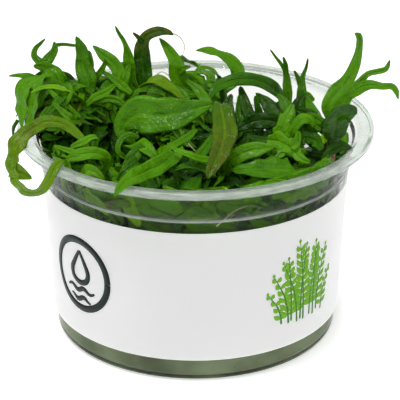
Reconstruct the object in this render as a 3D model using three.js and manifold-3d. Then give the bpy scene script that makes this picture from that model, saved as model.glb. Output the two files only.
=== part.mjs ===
// Water wisteria shoots packed in a clear culture cup.
// Millimetres, +Z up. The origin is the centre of the cup's flat underside.

import * as THREE from "three";
import { mergeVertices } from "three/addons/utils/BufferGeometryUtils.js";
import Module from "manifold-3d";

const wasm = await Module();
wasm.setup();

// ---------------------------------------------------------------- Driving dimensions

const CLEARANCE = 0.3; // between pieces that touch
const SOCKET_CLEARANCE = 0.42; // room cut round the large leaves in the packed ones
const ROUND_SEGMENTS = 36; // round the cup

const CUP = {
  wall: 0.8,
  footRadius: 30.2, // flat underside
  foot: { radius: 32.1, height: 2.2 }, // top of the rounded foot corner
  shoulder: { radius: 34.1, height: 39.2 }, // top of the plain wall that carries the label
  step: { radius: 34.9, height: 39.9 }, // thin stacking step above it
  neck: { radius: 36.0, height: 46.7 }, // where the wall turns out into the flange
  flangeInner: { radius: 37.0, height: 48.3 },
  rim: { radius: 40.0, height: 48.7 },
  lipDrop: 1.5, // the rim's edge is turned down by this much
};

const LABEL = { thickness: 0.25, bottom: 5.7, top: 37.0, gapWidth: 5 };
const GEL = { top: 6.5 };
// Matted leaf bases that rest on the gel
const MAT = { radius: 28.5, thickness: 2.6, bulge: 1, segments: 20 };

const STEM = { sides: 5, steps: 6, rootRadius: 1.05, tipRadius: 0.8 };
const BLADE = { midrib: 0.8, stalk: 1.0, fold: 0.18, steps: 9, turn: 0.55 }; // turn: most twist per section

const SMALL_LEAF = { count: 35, width: 8, steps: 6, rootRing: 24, reach: 8.5, tipDrop: 2.5, fold: 0.12 };

// Height of the small leaves: a base level with smooth mounds on it, and ups and downs between leaves
const CANOPY = {
  level: 45,
  ripple: 1,
  mounds: [
    { at: [-31, 2], reach: [8, 12], rise: 9.5 },
    { at: [-21, 13], reach: [8, 8], rise: 7 },
    { at: [-4, 14], reach: [9, 8], rise: 4.5 },
    { at: [22, -13], reach: [7, 6], rise: 2.5 },
  ],
};
const FREE_POCKET = { angle: 0.72, halfAngle: 0.6, innerRadius: 13 }; // empty part of the cup
const GOLDEN_ANGLE = Math.PI * (3 - Math.sqrt(5));

// Directions that a leaf's upper face can look in
const FRONT = [0, -0.9, 0.43];
const UP = [0, -0.25, 0.97];
const LEFT = [-0.9, -0.35, 0.25];
const LEFT_UP = [-0.55, -0.35, 0.75];
const RIGHT = [0.85, -0.45, 0.25];
const RIGHT_UP = [0.5, -0.5, 0.7];
const BACK_UP = [0, 0.5, 0.85];

// ---------------------------------------------------------------- Colours

const LEAF_GREEN = 0x4c8f0a;
const DARK_GREEN = 0x255f06;
const OLIVE_GREEN = 0x7a8416;
const PALE_GREEN = 0xa9c45a;
const STEM_GREEN = 0x5f8a1e;
const RUSTY_STEM = 0xa8611f;

function material(color, roughness, extra = {}) {
  return new THREE.MeshStandardMaterial({ color, roughness, metalness: 0, ...extra });
}

const group = new THREE.Group();

function addPiece(name, geometry, look) {
  const mesh = new THREE.Mesh(geometry, look);
  mesh.name = name;
  group.add(mesh);
}

// ---------------------------------------------------------------- Solids

/** Turns a closed three.js geometry into a manifold solid, with vertices nearer than weld as one. */
function toSolid(geometry, weld = 1e-4) {
  const bare = geometry.clone();
  bare.deleteAttribute("normal");
  bare.deleteAttribute("uv");
  const merged = mergeVertices(bare, weld);
  const triangles = [];
  for (let i = 0; i < merged.index.count; i += 3) {
    const [a, b, c] = [0, 1, 2].map((corner) => merged.index.getX(i + corner));
    if (a !== b && b !== c && c !== a) triangles.push(a, b, c);
  }
  const mesh = new wasm.Mesh({
    numProp: 3,
    vertProperties: new Float32Array(merged.attributes.position.array),
    triVerts: new Uint32Array(triangles),
  });
  return new wasm.Manifold(mesh);
}

/** Turns a manifold solid back into a three.js geometry. */
function toGeometry(solid) {
  const mesh = solid.getMesh();
  const geometry = new THREE.BufferGeometry();
  geometry.setAttribute("position", new THREE.BufferAttribute(new Float32Array(mesh.vertProperties), 3));
  geometry.setIndex(new THREE.BufferAttribute(new Uint32Array(mesh.triVerts), 1));
  geometry.computeVertexNormals();
  return geometry;
}

/** Keeps the largest connected body of a solid and drops cut-off scraps. */
function largestBody(solid) {
  return solid.decompose().reduce((best, body) => (body.volume() > best.volume() ? body : best));
}

/** Spins a closed [radius, height] profile round the cup's axis. */
function turned(profile, segments = ROUND_SEGMENTS) {
  const points = profile.map(([radius, height]) => new THREE.Vector2(radius, height));
  return new THREE.LatheGeometry(points, segments).rotateX(Math.PI / 2);
}

/** Points of a quarter arc from below the corner to its side, as [radius, height]. */
function cornerArc(innerRadius, outerRadius, lowHeight, highHeight, steps) {
  const points = [];
  for (let i = 0; i <= steps; i++) {
    const angle = (i / steps) * (Math.PI / 2);
    points.push([
      innerRadius + (outerRadius - innerRadius) * Math.sin(angle),
      highHeight - (highHeight - lowHeight) * Math.cos(angle),
    ]);
  }
  return points;
}

/** Outer radius of the plain wall at a height. */
function wallRadius(height) {
  const { foot, shoulder } = CUP;
  const share = (height - foot.height) / (shoulder.height - foot.height);
  return foot.radius + (shoulder.radius - foot.radius) * share;
}

// ---------------------------------------------------------------- Cup, label and gel

function cupGeometry() {
  const { wall, footRadius, foot, shoulder, step, neck, flangeInner, rim, lipDrop } = CUP;
  const outside = [
    [0, 0],
    ...cornerArc(footRadius, foot.radius, 0, foot.height, 2),
    [shoulder.radius, shoulder.height],
    [step.radius, step.height],
    [neck.radius, neck.height],
    [flangeInner.radius, flangeInner.height - wall],
    [rim.radius - wall, rim.height - wall],
    [rim.radius - wall, rim.height - lipDrop],
    [rim.radius, rim.height - lipDrop],
    [rim.radius, rim.height - 0.3],
    [rim.radius - 0.3, rim.height],
  ];
  const inside = [
    [flangeInner.radius, flangeInner.height],
    [flangeInner.radius - wall, flangeInner.height - wall],
    [neck.radius - wall, neck.height - wall],
    [step.radius - wall, step.height],
    [shoulder.radius - wall, shoulder.height],
    ...cornerArc(footRadius - wall, foot.radius - wall, wall, foot.height + wall, 2).reverse(),
    [0, wall],
  ];
  return turned([...outside, ...inside]);
}

function labelGeometry() {
  const { thickness, bottom, top, gapWidth } = LABEL;
  const inner = (height) => wallRadius(height) + CLEARANCE - 0.05;
  const band = turned([
    [inner(bottom), bottom],
    [inner(bottom) + thickness, bottom],
    [inner(top) + thickness, top],
    [inner(top), top],
    [inner(bottom), bottom],
  ]);
  const gap = new THREE.BoxGeometry(gapWidth, 20, 2 * top).translate(0, wallRadius(top), 0);
  return toGeometry(toSolid(band).subtract(toSolid(gap)));
}

function gelGeometry(stems) {
  const { wall, footRadius, foot } = CUP;
  const inset = wall + CLEARANCE;
  const gel = turned([
    [0, inset],
    ...cornerArc(footRadius - inset, foot.radius - inset, inset, foot.height + inset, 2),
    [wallRadius(GEL.top) - inset, GEL.top],
    [0, GEL.top],
  ]);
  return toGeometry(stems.reduce((rest, stem) => rest.subtract(stem.socket), toSolid(gel)));
}

// ---------------------------------------------------------------- Stems

/** Each stem's route from the gel up to its growing tip. */
const STEM_ROUTES = {
  stem_right: [[23, -7, 4], [27, -9, 24], [30, -10, 42], [29.5, -10, 50], [29, -10.5, 54.5]],
  stem_feather: [[12, -8, 4], [15, -10, 26], [18.5, -12.5, 42], [19.5, -13, 49]],
  stem_spikes: [[15, 6, 4], [19, 9, 26], [21.5, 11.5, 42], [21.5, 12, 48.5]],
  stem_middle: [[2, -3, 4], [5, -4, 26], [8, -5, 44], [7, -7, 54]],
  stem_back: [[5, 13, 4], [6, 16, 26], [7, 17.5, 42], [6, 17, 51.5]],
  stem_crook: [[-8, 9, 4], [-10, 11, 26], [-12, 12, 44], [-12, 13, 52]],
  stem_left_back: [[-16, 5, 4], [-19, 5, 26], [-22.5, 5, 44], [-23.5, 5, 54]],
  stem_left: [[-22, -1, 4], [-26, 0, 26], [-29, 1, 44], [-30.5, 1.5, 55]],
  stem_left_front: [[-16, -11, 4], [-19, -14, 26], [-22, -15, 40], [-22.5, -16, 46.5]],
  stem_front: [[-6, -9, 4], [-9, -10, 26], [-12.5, -11, 40], [-13.5, -11, 46]],
  stem_right_front: [[5, -13, 4], [7, -17, 26], [6.5, -19, 40], [5, -21, 47]],
};

function stemLine(route) {
  return new THREE.CatmullRomCurve3(route.map((point) => new THREE.Vector3(...point)), false, "centripetal");
}

/** A tapering stem: a polygon section carried up its line, with closed ends. */
function stemGeometry(line, swell = 0) {
  const section = new THREE.Shape();
  for (let side = 0; side < STEM.sides; side++) {
    const angle = (side / STEM.sides) * 2 * Math.PI;
    const point = [Math.cos(angle), Math.sin(angle)];
    if (side === 0) section.moveTo(...point);
    else section.lineTo(...point);
  }
  section.closePath();
  const settings = { steps: STEM.steps, extrudePath: line, bevelEnabled: false };
  const geometry = new THREE.ExtrudeGeometry(section, settings);
  const position = geometry.attributes.position;
  const vertex = new THREE.Vector3();
  const low = line.getPointAt(0).z;
  const high = line.getPointAt(1).z;
  for (let i = 0; i < position.count; i++) {
    vertex.fromBufferAttribute(position, i);
    const share = THREE.MathUtils.clamp((vertex.z - low) / (high - low), 0, 1);
    const centre = line.getPointAt(shareAlong(line, vertex.z));
    const wanted = THREE.MathUtils.lerp(STEM.rootRadius, STEM.tipRadius, share) + swell;
    vertex.sub(centre).multiplyScalar(wanted).add(centre);
    position.setXYZ(i, vertex.x, vertex.y, vertex.z);
  }
  return geometry;
}

/** Share of a stem's length at which it reaches a height. */
function shareAlong(line, height) {
  let low = 0;
  let high = 1;
  for (let i = 0; i < 24; i++) {
    const middle = (low + high) / 2;
    if (line.getPointAt(middle).z < height) low = middle;
    else high = middle;
  }
  return (low + high) / 2;
}

// ---------------------------------------------------------------- Leaves

/** Value of an evenly spaced list of numbers at a share from 0 to 1. */
function along(values, share) {
  const place = share * (values.length - 1);
  const index = Math.min(Math.floor(place), values.length - 2);
  return THREE.MathUtils.lerp(values[index], values[index + 1], place - index);
}

/**
 * The direction square to a blade's line in which its upper side looks. Where the wanted direction
 * runs nearly along the line, the blade keeps the direction that it had just before, and from one
 * section to the next it never turns by more than BLADE.turn.
 */
function upperSide(wanted, tangent, before) {
  const square = (vector) => vector.clone().addScaledVector(tangent, -vector.dot(tangent));
  const fresh = square(wanted);
  const trust = THREE.MathUtils.smoothstep(fresh.length(), 0.2, 0.7);
  const kept = square(before).normalize();
  const aimed = kept.clone().multiplyScalar(1 - trust).addScaledVector(fresh.normalize(), trust).normalize();
  const angle = kept.angleTo(aimed);
  const sense = Math.sign(kept.clone().cross(aimed).dot(tangent)) || 1;
  return kept.applyAxisAngle(tangent, sense * Math.min(angle, BLADE.turn));
}

/**
 * A leaf blade: a flat rhombus section, folded a little along its midrib, carried along a centre
 * line. The widths are full widths at even steps, and the faces say where the upper side looks.
 */
function bladeGeometry({ route, widths, faces, steps = BLADE.steps, fold = BLADE.fold }, swell = 0) {
  const line = stemLine(route);
  const vertices = [];
  let outward = new THREE.Vector3(...faces[0]);
  for (let i = 0; i < steps; i++) {
    const share = i / steps;
    const tangent = line.getTangentAt(share);
    const centre = line.getPointAt(share).addScaledVector(tangent, i === 0 ? -swell : 0);
    const face = new THREE.Vector3(...[0, 1, 2].map((axis) => along(faces.map((f) => f[axis]), share)));
    outward = upperSide(face, tangent, outward);
    const across = new THREE.Vector3().crossVectors(tangent, outward);
    const half = Math.max(along(widths, share), 0.5) / 2 + swell;
    const rib = BLADE.midrib / 2 + swell;
    const edge = outward.clone().multiplyScalar(fold * half);
    vertices.push(
      centre.clone().addScaledVector(across, -half).add(edge),
      centre.clone().addScaledVector(outward, rib),
      centre.clone().addScaledVector(across, half).add(edge),
      centre.clone().addScaledVector(outward, -rib),
    );
  }
  const tip = line.getPointAt(1).addScaledVector(line.getTangentAt(1), swell);
  vertices.push(tip);
  return closedStrip(vertices, steps);
}

/**
 * Joins rings of four points, closes the first with a face and runs the last to the tip point. Each
 * quad is split from the blade's edge to its midrib, so the two sides of a twisted blade run alike.
 */
function closedStrip(vertices, rings) {
  const index = [0, 2, 1, 0, 3, 2];
  for (let ring = 0; ring < rings - 1; ring++) {
    for (let side = 0; side < 4; side++) {
      const a = ring * 4 + side;
      const b = ring * 4 + ((side + 1) % 4);
      if (side % 2 === 0) index.push(a, b, b + 4, a, b + 4, a + 4);
      else index.push(a, b, a + 4, b, b + 4, a + 4);
    }
  }
  const last = (rings - 1) * 4;
  for (let side = 0; side < 4; side++) {
    index.push(last + side, last + ((side + 1) % 4), rings * 4);
  }
  const geometry = new THREE.BufferGeometry();
  const flat = vertices.flatMap((vertex) => vertex.toArray());
  geometry.setAttribute("position", new THREE.BufferAttribute(new Float32Array(flat), 3));
  geometry.setIndex(index);
  return geometry;
}

/** Where a leaf leaves its stem: just clear of the stem's skin, on the side of its next point. */
function stalkFoot(stemName, height, next) {
  const line = stemLine(STEM_ROUTES[stemName]);
  const share = shareAlong(line, height);
  const centre = line.getPointAt(share);
  const tangent = line.getTangentAt(share);
  if (share > 0.98) return centre.addScaledVector(tangent, CLEARANCE + 0.1).toArray();
  const away = new THREE.Vector3(...next).sub(centre).normalize();
  const slant = away.dot(tangent);
  away.addScaledVector(tangent, -slant).normalize();
  const skin = THREE.MathUtils.lerp(STEM.rootRadius, STEM.tipRadius, share);
  return centre.addScaledVector(away, skin + CLEARANCE + (BLADE.stalk / 2) * Math.abs(slant)).toArray();
}

/**
 * The large leaves. Each has its stem, the height at which it leaves it, and one or more blades;
 * the first blade starts at the stem, and the others are forks of it.
 */
const LEAVES = {
  // ---- right-hand shoot, standing over the rim
  leaf_tall: { stem: "stem_right", at: 60, color: LEAF_GREEN, blades: [
    { route: [[28.9, -10.2, 56.4], [30.7, -8.5, 58.6], [32.8, -7.4, 60.8], [34.2, -6.9, 63.2],
        [35.2, -6.5, 66], [35.7, -6.5, 69.2], [35.5, -6.8, 71.6], [34.5, -7, 72.5]],
      widths: [1.2, 3.4, 3.8, 3, 2.3, 1.8, 1.5, 1.2], faces: [FRONT, FRONT, FRONT], steps: 11 },
  ] },
  leaf_antler: { stem: "stem_right", at: 50.5, color: LEAF_GREEN, blades: [
    { route: [[31, -12, 56.2], [33.3, -12.4, 60.2], [35.7, -12.5, 63.2], [37.3, -12.5, 65],
        [39.5, -12.5, 65.6], [41.1, -12.8, 66.3], [41.9, -13, 68.5]],
      widths: [1.2, 3.8, 3.6, 2.4, 1.8, 1.3, 1.3, 0.6], faces: [FRONT, FRONT, FRONT] },
    { route: [[33.2, -12.4, 60], [35.4, -12.9, 61.8], [37.6, -13.8, 63], [40.3, -14.5, 62.9],
        [42.4, -15, 63], [43.4, -15.4, 61.8], [43.8, -15.5, 60.2]],
      widths: [2, 2.8, 2.1, 1.7, 1.5, 1.3, 0.5], faces: [FRONT, FRONT, FRONT] },
  ] },
  leaf_curled: { stem: "stem_right", at: 47, color: DARK_GREEN, blades: [
    { route: [[30.4, -13.4, 53], [30.6, -15.2, 55.6], [31.8, -16.2, 56.9], [33.4, -16.6, 57.5],
        [34.9, -16.4, 57.3]],
      widths: [1.2, 3.4, 6, 6.6, 5.4, 3],
      faces: [FRONT, [0.3, -0.95, 0.1], [0.5, -0.8, -0.2]], fold: 0.05 },
  ] },
  leaf_bud: { stem: "stem_right", at: 49.5, color: PALE_GREEN, blades: [
    { route: [[27.8, -12.4, 49.6], [26.8, -13, 48]],
      widths: [0.8, 1.8, 1.8, 0.8], faces: [FRONT, FRONT], steps: 5 },
  ] },
  // ---- lobed leaves left of it
  leaf_feather_low: { stem: "stem_feather", at: 47, color: LEAF_GREEN, blades: [
    { route: [[22.5, -17.5, 48], [20.6, -18, 50], [17.5, -17, 51.2], [15.4, -16, 51]],
      widths: [1.2, 2.2, 3, 3.6, 4, 2], faces: [UP, FRONT, FRONT] },
    { route: [[20.6, -18, 50], [22, -17.6, 51.6], [22.2, -17, 53.6]],
      widths: [2.2, 1.8, 0.8], faces: [FRONT, FRONT], steps: 3 },
    { route: [[21.5, -17.8, 49.2], [23, -19.6, 48], [24.8, -20.4, 47.6]],
      widths: [2.4, 2, 0.8], faces: [FRONT, FRONT], steps: 3 },
    { route: [[19.6, -17.8, 50.2], [18.4, -19, 49], [17.3, -19.6, 48]],
      widths: [2.2, 1.8, 0.8], faces: [FRONT, FRONT], steps: 3 },
  ] },
  leaf_feather_high: { stem: "stem_feather", at: 49, color: LEAF_GREEN, blades: [
    { route: [[19, -12.5, 52], [20, -11.2, 54.5], [21.5, -9.8, 57]],
      widths: [1.2, 3.6, 3.2, 2.2, 0.6], faces: [FRONT, FRONT] },
  ] },
  leaf_feather_arc: { stem: "stem_feather", at: 48, color: LEAF_GREEN, blades: [
    { route: [[21.4, -13.8, 52.6], [23.2, -13.4, 54.8], [25, -13, 54.4], [26, -13, 52.6]],
      widths: [1.2, 2.4, 2.6, 2.2, 0.8], faces: [RIGHT_UP, UP, FRONT] },
  ] },
  leaf_raft: { stem: "stem_feather", at: 43.5, color: LEAF_GREEN, blades: [
    { route: [[21, -18, 44.6], [21.4, -23, 46.8], [15.4, -26.3, 48.4], [10.5, -27, 48.8], [7.5, -26, 48.2]],
      widths: [1.2, 4.6, 5.6, 5.6, 4, 1], faces: [UP, [0, -0.6, 0.8], [0, -0.6, 0.8]] },
  ] },
  // ---- thin leaves at the back right
  leaf_spike_right: { stem: "stem_spikes", at: 46.5, color: LEAF_GREEN, blades: [
    { route: [[24.2, 10, 49.5], [24.2, 10, 52.5], [24.4, 11, 55.2], [25.2, 11.6, 57.4], [25.6, 12, 59.6]],
      widths: [1.2, 2.8, 2.8, 1.9, 1.2, 0.8, 0.4], faces: [FRONT, FRONT] },
    { route: [[24.2, 10.4, 53], [23.4, 10.4, 55], [22.4, 10.2, 57.2]],
      widths: [1.6, 1.2, 0.5], faces: [FRONT, FRONT], steps: 4 },
    { route: [[24.2, 10, 51.5], [25.6, 9, 51.3], [27, 8, 50.6]],
      widths: [1.8, 1.8, 0.8], faces: [FRONT, FRONT], steps: 4 },
  ] },
  leaf_spike_left: { stem: "stem_spikes", at: 60, color: LEAF_GREEN, blades: [
    { route: [[21, 13, 52], [20.7, 14.5, 55], [19.8, 15, 56.6], [18.4, 16, 58.2], [17, 16, 60.2]],
      widths: [1.2, 2, 1.9, 1.4, 0.9, 0.6, 0.4], faces: [FRONT, FRONT] },
    { route: [[20.7, 14.2, 54.5], [20.6, 14, 57], [20, 13.6, 59.2]],
      widths: [1.4, 1.1, 0.5], faces: [FRONT, FRONT], steps: 4 },
  ] },
  leaf_arch_right: { stem: "stem_spikes", at: 44.5, color: DARK_GREEN, blades: [
    { route: [[20.4, 15.4, 47.4], [18.8, 14.8, 50.2], [16.8, 13.2, 52.5], [14.2, 11.5, 54.2],
        [11.4, 10, 55.2], [8.7, 8.5, 55.5], [5.9, 7, 55], [3.9, 5, 54], [3, 3.4, 52.4]],
      widths: [1.2, 2.2, 2.8, 2.8, 2.8, 2.8, 2.4, 0.8], faces: [BACK_UP, FRONT, FRONT, UP], steps: 12 },
  ] },
  leaf_under_arch: { stem: "stem_spikes", at: 42, color: DARK_GREEN, blades: [
    { route: [[19, 9.2, 46.6], [16.4, 8.2, 49.8], [13.6, 8, 52.6]],
      widths: [1.2, 3, 3.4, 2.6, 0.6], faces: [FRONT, FRONT] },
  ] },
  // ---- back
  leaf_back_tongue: { stem: "stem_back", at: 49, color: LEAF_GREEN, blades: [
    { route: [[9.8, 20, 52.6], [8.4, 21.6, 54.8], [5.4, 22, 56.6], [2.4, 22, 57.6], [0, 22, 57.6]],
      widths: [1.2, 2.8, 3.4, 3.4, 3, 0.8], faces: [FRONT, UP, UP] },
  ] },
  leaf_blade_back: { stem: "stem_back", at: 46.5, color: LEAF_GREEN, blades: [
    { route: [[1.5, 15.4, 49.4], [-2.2, 14, 51.4], [-4, 13.8, 54.4], [-4.5, 14.2, 57.5], [-6.1, 15.6, 60],
        [-7.5, 17, 61.5], [-8.4, 17.8, 62.3]],
      widths: [1.2, 2.4, 3.6, 3.8, 3.4, 2.2, 0.6], faces: [FRONT, FRONT, FRONT] },
    { route: [[-4, 14, 55.6], [-2.6, 13.6, 56.5], [-1.1, 13.2, 57]],
      widths: [2.2, 1.5, 0.5], faces: [FRONT, FRONT], steps: 4 },
  ] },
  leaf_fingers_high: { stem: "stem_back", at: 60, color: LEAF_GREEN, blades: [
    { route: [[5, 15, 54.4], [3, 14.2, 56.1], [1, 13, 56.6], [-0.6, 12, 55.2]],
      widths: [1.2, 2, 1.8, 1.6, 0.5], faces: [UP, UP], steps: 7 },
  ] },
  leaf_fingers_low: { stem: "stem_back", at: 50, color: LEAF_GREEN, blades: [
    { route: [[5, 13, 52.8], [3, 11.6, 54], [1.2, 10.6, 53.4]],
      widths: [1.2, 1.8, 1.6, 0.5], faces: [UP, UP], steps: 6 },
  ] },
  leaf_rear_left: { stem: "stem_back", at: 44, color: LEAF_GREEN, blades: [
    { route: [[5, 22, 47], [2, 27, 50.5], [-2, 31, 51.6], [-5, 34.5, 49.6]],
      widths: [1.2, 4, 4.6, 4, 0.8], faces: [BACK_UP, BACK_UP, [0, 0.9, 0.4]] },
  ] },
  // ---- centre back
  leaf_crook: { stem: "stem_crook", at: 60, color: DARK_GREEN, blades: [
    { route: [[-12, 13.6, 55], [-12.2, 14.4, 58.6], [-12.2, 15, 61.4], [-11.2, 15.8, 63.4],
        [-8.8, 16, 64.4], [-6.5, 16, 64.3], [-5, 16, 63.6]],
      widths: [1.4, 3.8, 4, 3.4, 2.6, 2.3, 2.1, 1.4], faces: [FRONT, FRONT, FRONT, UP], steps: 12 },
    { route: [[-12, 15, 62.4], [-13.3, 15.1, 63.6], [-14.3, 15, 64.6]],
      widths: [1.4, 1, 0.4], faces: [FRONT, FRONT], steps: 4 },
  ] },
  leaf_needle: { stem: "stem_crook", at: 50, color: LEAF_GREEN, blades: [
    { route: [[-14.4, 11.2, 53.4], [-14.9, 10.7, 57], [-15.3, 10.7, 60.2], [-15.6, 10.8, 62.2],
        [-16.3, 11, 64.1], [-17.4, 11, 66], [-18.2, 11, 67.8]],
      widths: [1.2, 2, 2.1, 2.5, 2.2, 1.2, 0.9, 0.4], faces: [FRONT, FRONT] },
  ] },
  leaf_arch_left: { stem: "stem_crook", at: 48.5, color: OLIVE_GREEN, blades: [
    { route: [[-12.2, 8.6, 52.8], [-11.2, 6, 55.8], [-9, 5, 56.9], [-6.6, 4.6, 55.8], [-4.2, 4, 54.1],
        [-2.6, 3.6, 52.2]],
      widths: [1.2, 2.4, 3.2, 3.4, 2.8, 0.8], faces: [UP, UP, [0.4, -0.5, 0.8]], steps: 10 },
  ] },
  leaf_rear_middle: { stem: "stem_crook", at: 45.5, color: DARK_GREEN, blades: [
    { route: [[-14, 18, 49], [-15.5, 23, 52], [-17.5, 28, 52.4], [-19.5, 32, 49.6]],
      widths: [1.2, 4, 4.8, 4.2, 0.8], faces: [BACK_UP, BACK_UP, [-0.3, 0.85, 0.4]] },
  ] },
  // ---- left
  leaf_spear: { stem: "stem_left_back", at: 60, color: LEAF_GREEN, blades: [
    { route: [[-24.4, 6, 57], [-25.4, 7.2, 59.8], [-25.5, 7.6, 62.4], [-26.2, 8, 64.6], [-26.9, 8, 66.3]],
      widths: [1.4, 3.8, 3.9, 3, 2.2, 0.6], faces: [FRONT, FRONT] },
  ] },
  leaf_ribbon: { stem: "stem_left_back", at: 50.5, color: LEAF_GREEN, blades: [
    { route: [[-20.4, 7.6, 54], [-18.2, 7.9, 55.6], [-17.4, 8.4, 57.4], [-18.6, 9.2, 59.3],
        [-20.8, 10.4, 60.8], [-23.4, 12, 62.6]],
      widths: [1.2, 2, 2.4, 2.8, 2.8, 2.2, 0.6], faces: [UP, FRONT, FRONT] },
  ] },
  leaf_roof: { stem: "stem_left_back", at: 50, color: DARK_GREEN, blades: [
    { route: [[-27, 7.6, 53.2], [-30, 8.8, 55], [-33.6, 9, 56.2], [-36.4, 9, 56.6]],
      widths: [1.2, 4.4, 5, 4, 1], faces: [UP, UP, FRONT] },
  ] },
  leaf_pin: { stem: "stem_left_back", at: 48, color: PALE_GREEN, blades: [
    { route: [[-26, 0, 54.5], [-30, -4.4, 58.6], [-33, -5.4, 59.2], [-36.4, -6, 58.2]],
      widths: [1.2, 1.8, 2.2, 2, 0.6], faces: [UP, UP], steps: 7 },
  ] },
  leaf_feather_left: { stem: "stem_left", at: 60, color: LEAF_GREEN, blades: [
    { route: [[-31.3, 2.6, 57.6], [-32.6, 3.8, 59.4], [-34.7, 5, 61], [-36.2, 6, 62.3], [-35.9, 6, 64],
        [-34.7, 6, 65.3], [-33.5, 6, 66.5]],
      widths: [1.4, 3.6, 3.6, 2.4, 1.7, 1.3, 1, 0.4], faces: [FRONT, FRONT], steps: 10 },
    { route: [[-34, 4.8, 60.8], [-32.6, 5.6, 62.2], [-31.6, 5.6, 63.8], [-31.6, 5.6, 65.9]],
      widths: [2.2, 2.2, 1.8, 1.5, 0.5], faces: [FRONT, FRONT], steps: 6 },
    { route: [[-31.7, 5.6, 64.9], [-29.8, 6.4, 64.9], [-28, 7, 64.5]],
      widths: [1, 0.8, 0.6], faces: [FRONT, FRONT], steps: 4 },
  ] },
  leaf_drape: { stem: "stem_left", at: 49, color: LEAF_GREEN, blades: [
    { route: [[-34.2, -1.4, 56], [-35.8, -1.3, 58], [-37.5, -1.8, 58.4], [-38.4, -2.6, 56.4],
        [-38.4, -3.6, 53.4], [-38.5, -4.8, 51.4], [-38.6, -5.8, 49.6]],
      widths: [1.2, 2.6, 3.8, 4.8, 4.8, 4, 2.8, 0.8], faces: [UP, LEFT_UP, LEFT_UP, LEFT_UP], steps: 11 },
  ] },
  leaf_lobe: { stem: "stem_left", at: 47.5, color: LEAF_GREEN, blades: [
    { route: [[-33.6, 3.8, 53.6], [-36, 4.2, 57], [-39, 4, 58.2], [-42, 3.6, 58.4]],
      widths: [1.2, 3, 3.2, 2.6, 0.6], faces: [UP, UP], steps: 7 },
  ] },
  leaf_cross_high: { stem: "stem_left", at: 49, color: LEAF_GREEN, blades: [
    { route: [[-30.6, -3.4, 54.4], [-29.4, -6.4, 57.2], [-30, -8.2, 57.2], [-31.4, -9.3, 55.7],
        [-33, -10, 54.2]],
      widths: [1.2, 1.6, 1.8, 2, 0.8], faces: [UP, UP, FRONT], steps: 9 },
  ] },
  leaf_cross_low: { stem: "stem_left", at: 46.5, color: LEAF_GREEN, blades: [
    { route: [[-26, -5, 51], [-27.4, -10.6, 53.8], [-29.6, -10.6, 56], [-31.4, -10.4, 57.8]],
      widths: [1.2, 1.8, 2, 1.8, 0.6], faces: [RIGHT, FRONT], steps: 7 },
  ] },
  leaf_rear_right: { stem: "stem_left", at: 44.5, color: LEAF_GREEN, blades: [
    { route: [[-29.5, 7, 47.5], [-30, 13, 51.4], [-30.5, 18, 51.8], [-31, 22, 49.4]],
      widths: [1.2, 4, 4.6, 4, 0.8], faces: [UP, LEFT_UP, [-0.6, 0.6, 0.4]] },
  ] },
  // ---- the big loop over the rim, front left
  leaf_loop: { stem: "stem_left_front", at: 45, color: OLIVE_GREEN, blades: [
    { route: [[-24.5, -14.2, 50], [-26.1, -13, 51.4], [-28, -12.2, 52.7], [-30.2, -12, 53.6],
        [-32.9, -12, 53.6], [-35, -12, 52.5], [-37.5, -12.8, 51], [-39.1, -14.6, 48.8], [-39.8, -16, 46.4],
        [-39.8, -17.7, 45.1], [-39.1, -20, 43.8], [-38, -22.5, 43], [-36.2, -25, 42.7],
        [-33.8, -27.4, 43.7], [-32.1, -28.7, 45.6], [-30.9, -28.5, 47.8], [-29.5, -27, 50],
        [-27.8, -25, 50.2]],
      widths: [1.2, 1.4, 1.6, 1.8, 2.2, 2.6, 2.6, 2.9, 3.6, 4, 3.4, 2.9, 2.7, 2.2, 1.6, 1.5, 2, 2.2, 2.1,
        1],
      faces: [UP, FRONT, FRONT, FRONT, [-0.6, -0.75, 0.25], [-0.6, -0.75, 0.1], [-0.5, -0.8, 0.1], FRONT,
        FRONT], steps: 24 },
    { route: [[-39.2, -18.6, 44.7], [-37.6, -19, 44.2], [-35.6, -19.5, 43.4]],
      widths: [3, 2.3, 0.5], faces: [FRONT, FRONT], steps: 4 },
  ] },
  leaf_fork_high: { stem: "stem_left_front", at: 60, color: LEAF_GREEN, blades: [
    { route: [[-21.8, -16.8, 50.2], [-21.4, -17.2, 52], [-22.4, -17.9, 52.5], [-24.4, -18.8, 51.7],
        [-27.2, -19.7, 50.8]],
      widths: [1.2, 1.4, 1.7, 1.8, 0.8], faces: [FRONT, UP, FRONT], steps: 9 },
  ] },
  leaf_fork_low: { stem: "stem_left_front", at: 41.5, color: LEAF_GREEN, blades: [
    { route: [[-20, -18.6, 45], [-19.2, -19.9, 47.6], [-19.9, -20.7, 49.3], [-22, -21.1, 50.1],
        [-24.5, -21.5, 50], [-26.6, -21.7, 49.4], [-28, -21.6, 48.8]],
      widths: [1.2, 1.4, 1.8, 2.2, 2.7, 2.6, 1], faces: [FRONT, FRONT], steps: 12 },
    { route: [[-25, -21.5, 50], [-28, -21, 50.9], [-30.6, -20.4, 51.6]],
      widths: [1.6, 1.3, 0.4], faces: [FRONT, FRONT], steps: 4 },
  ] },
  leaf_rib: { stem: "stem_left_front", at: 39, color: PALE_GREEN, blades: [
    { route: [[-23.4, -20.4, 42.4], [-23.4, -24.4, 47.4], [-21.6, -25.2, 47.4], [-19.4, -25.8, 45.6]],
      widths: [1.2, 2.4, 3, 2.6, 0.8], faces: [UP, FRONT], steps: 7 },
  ] },
  // ---- centre front
  leaf_broad: { stem: "stem_front", at: 60, color: LEAF_GREEN, blades: [
    { route: [[-14, -10.9, 48.4], [-15.8, -10.4, 50.8], [-15.1, -9.9, 53], [-13, -10, 54.4],
        [-9.3, -10.8, 54.6], [-6, -11.2, 55], [-2.6, -11.3, 55.6], [0.4, -11, 56.5], [2.8, -10.4, 57],
        [4, -10, 57.2]],
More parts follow.
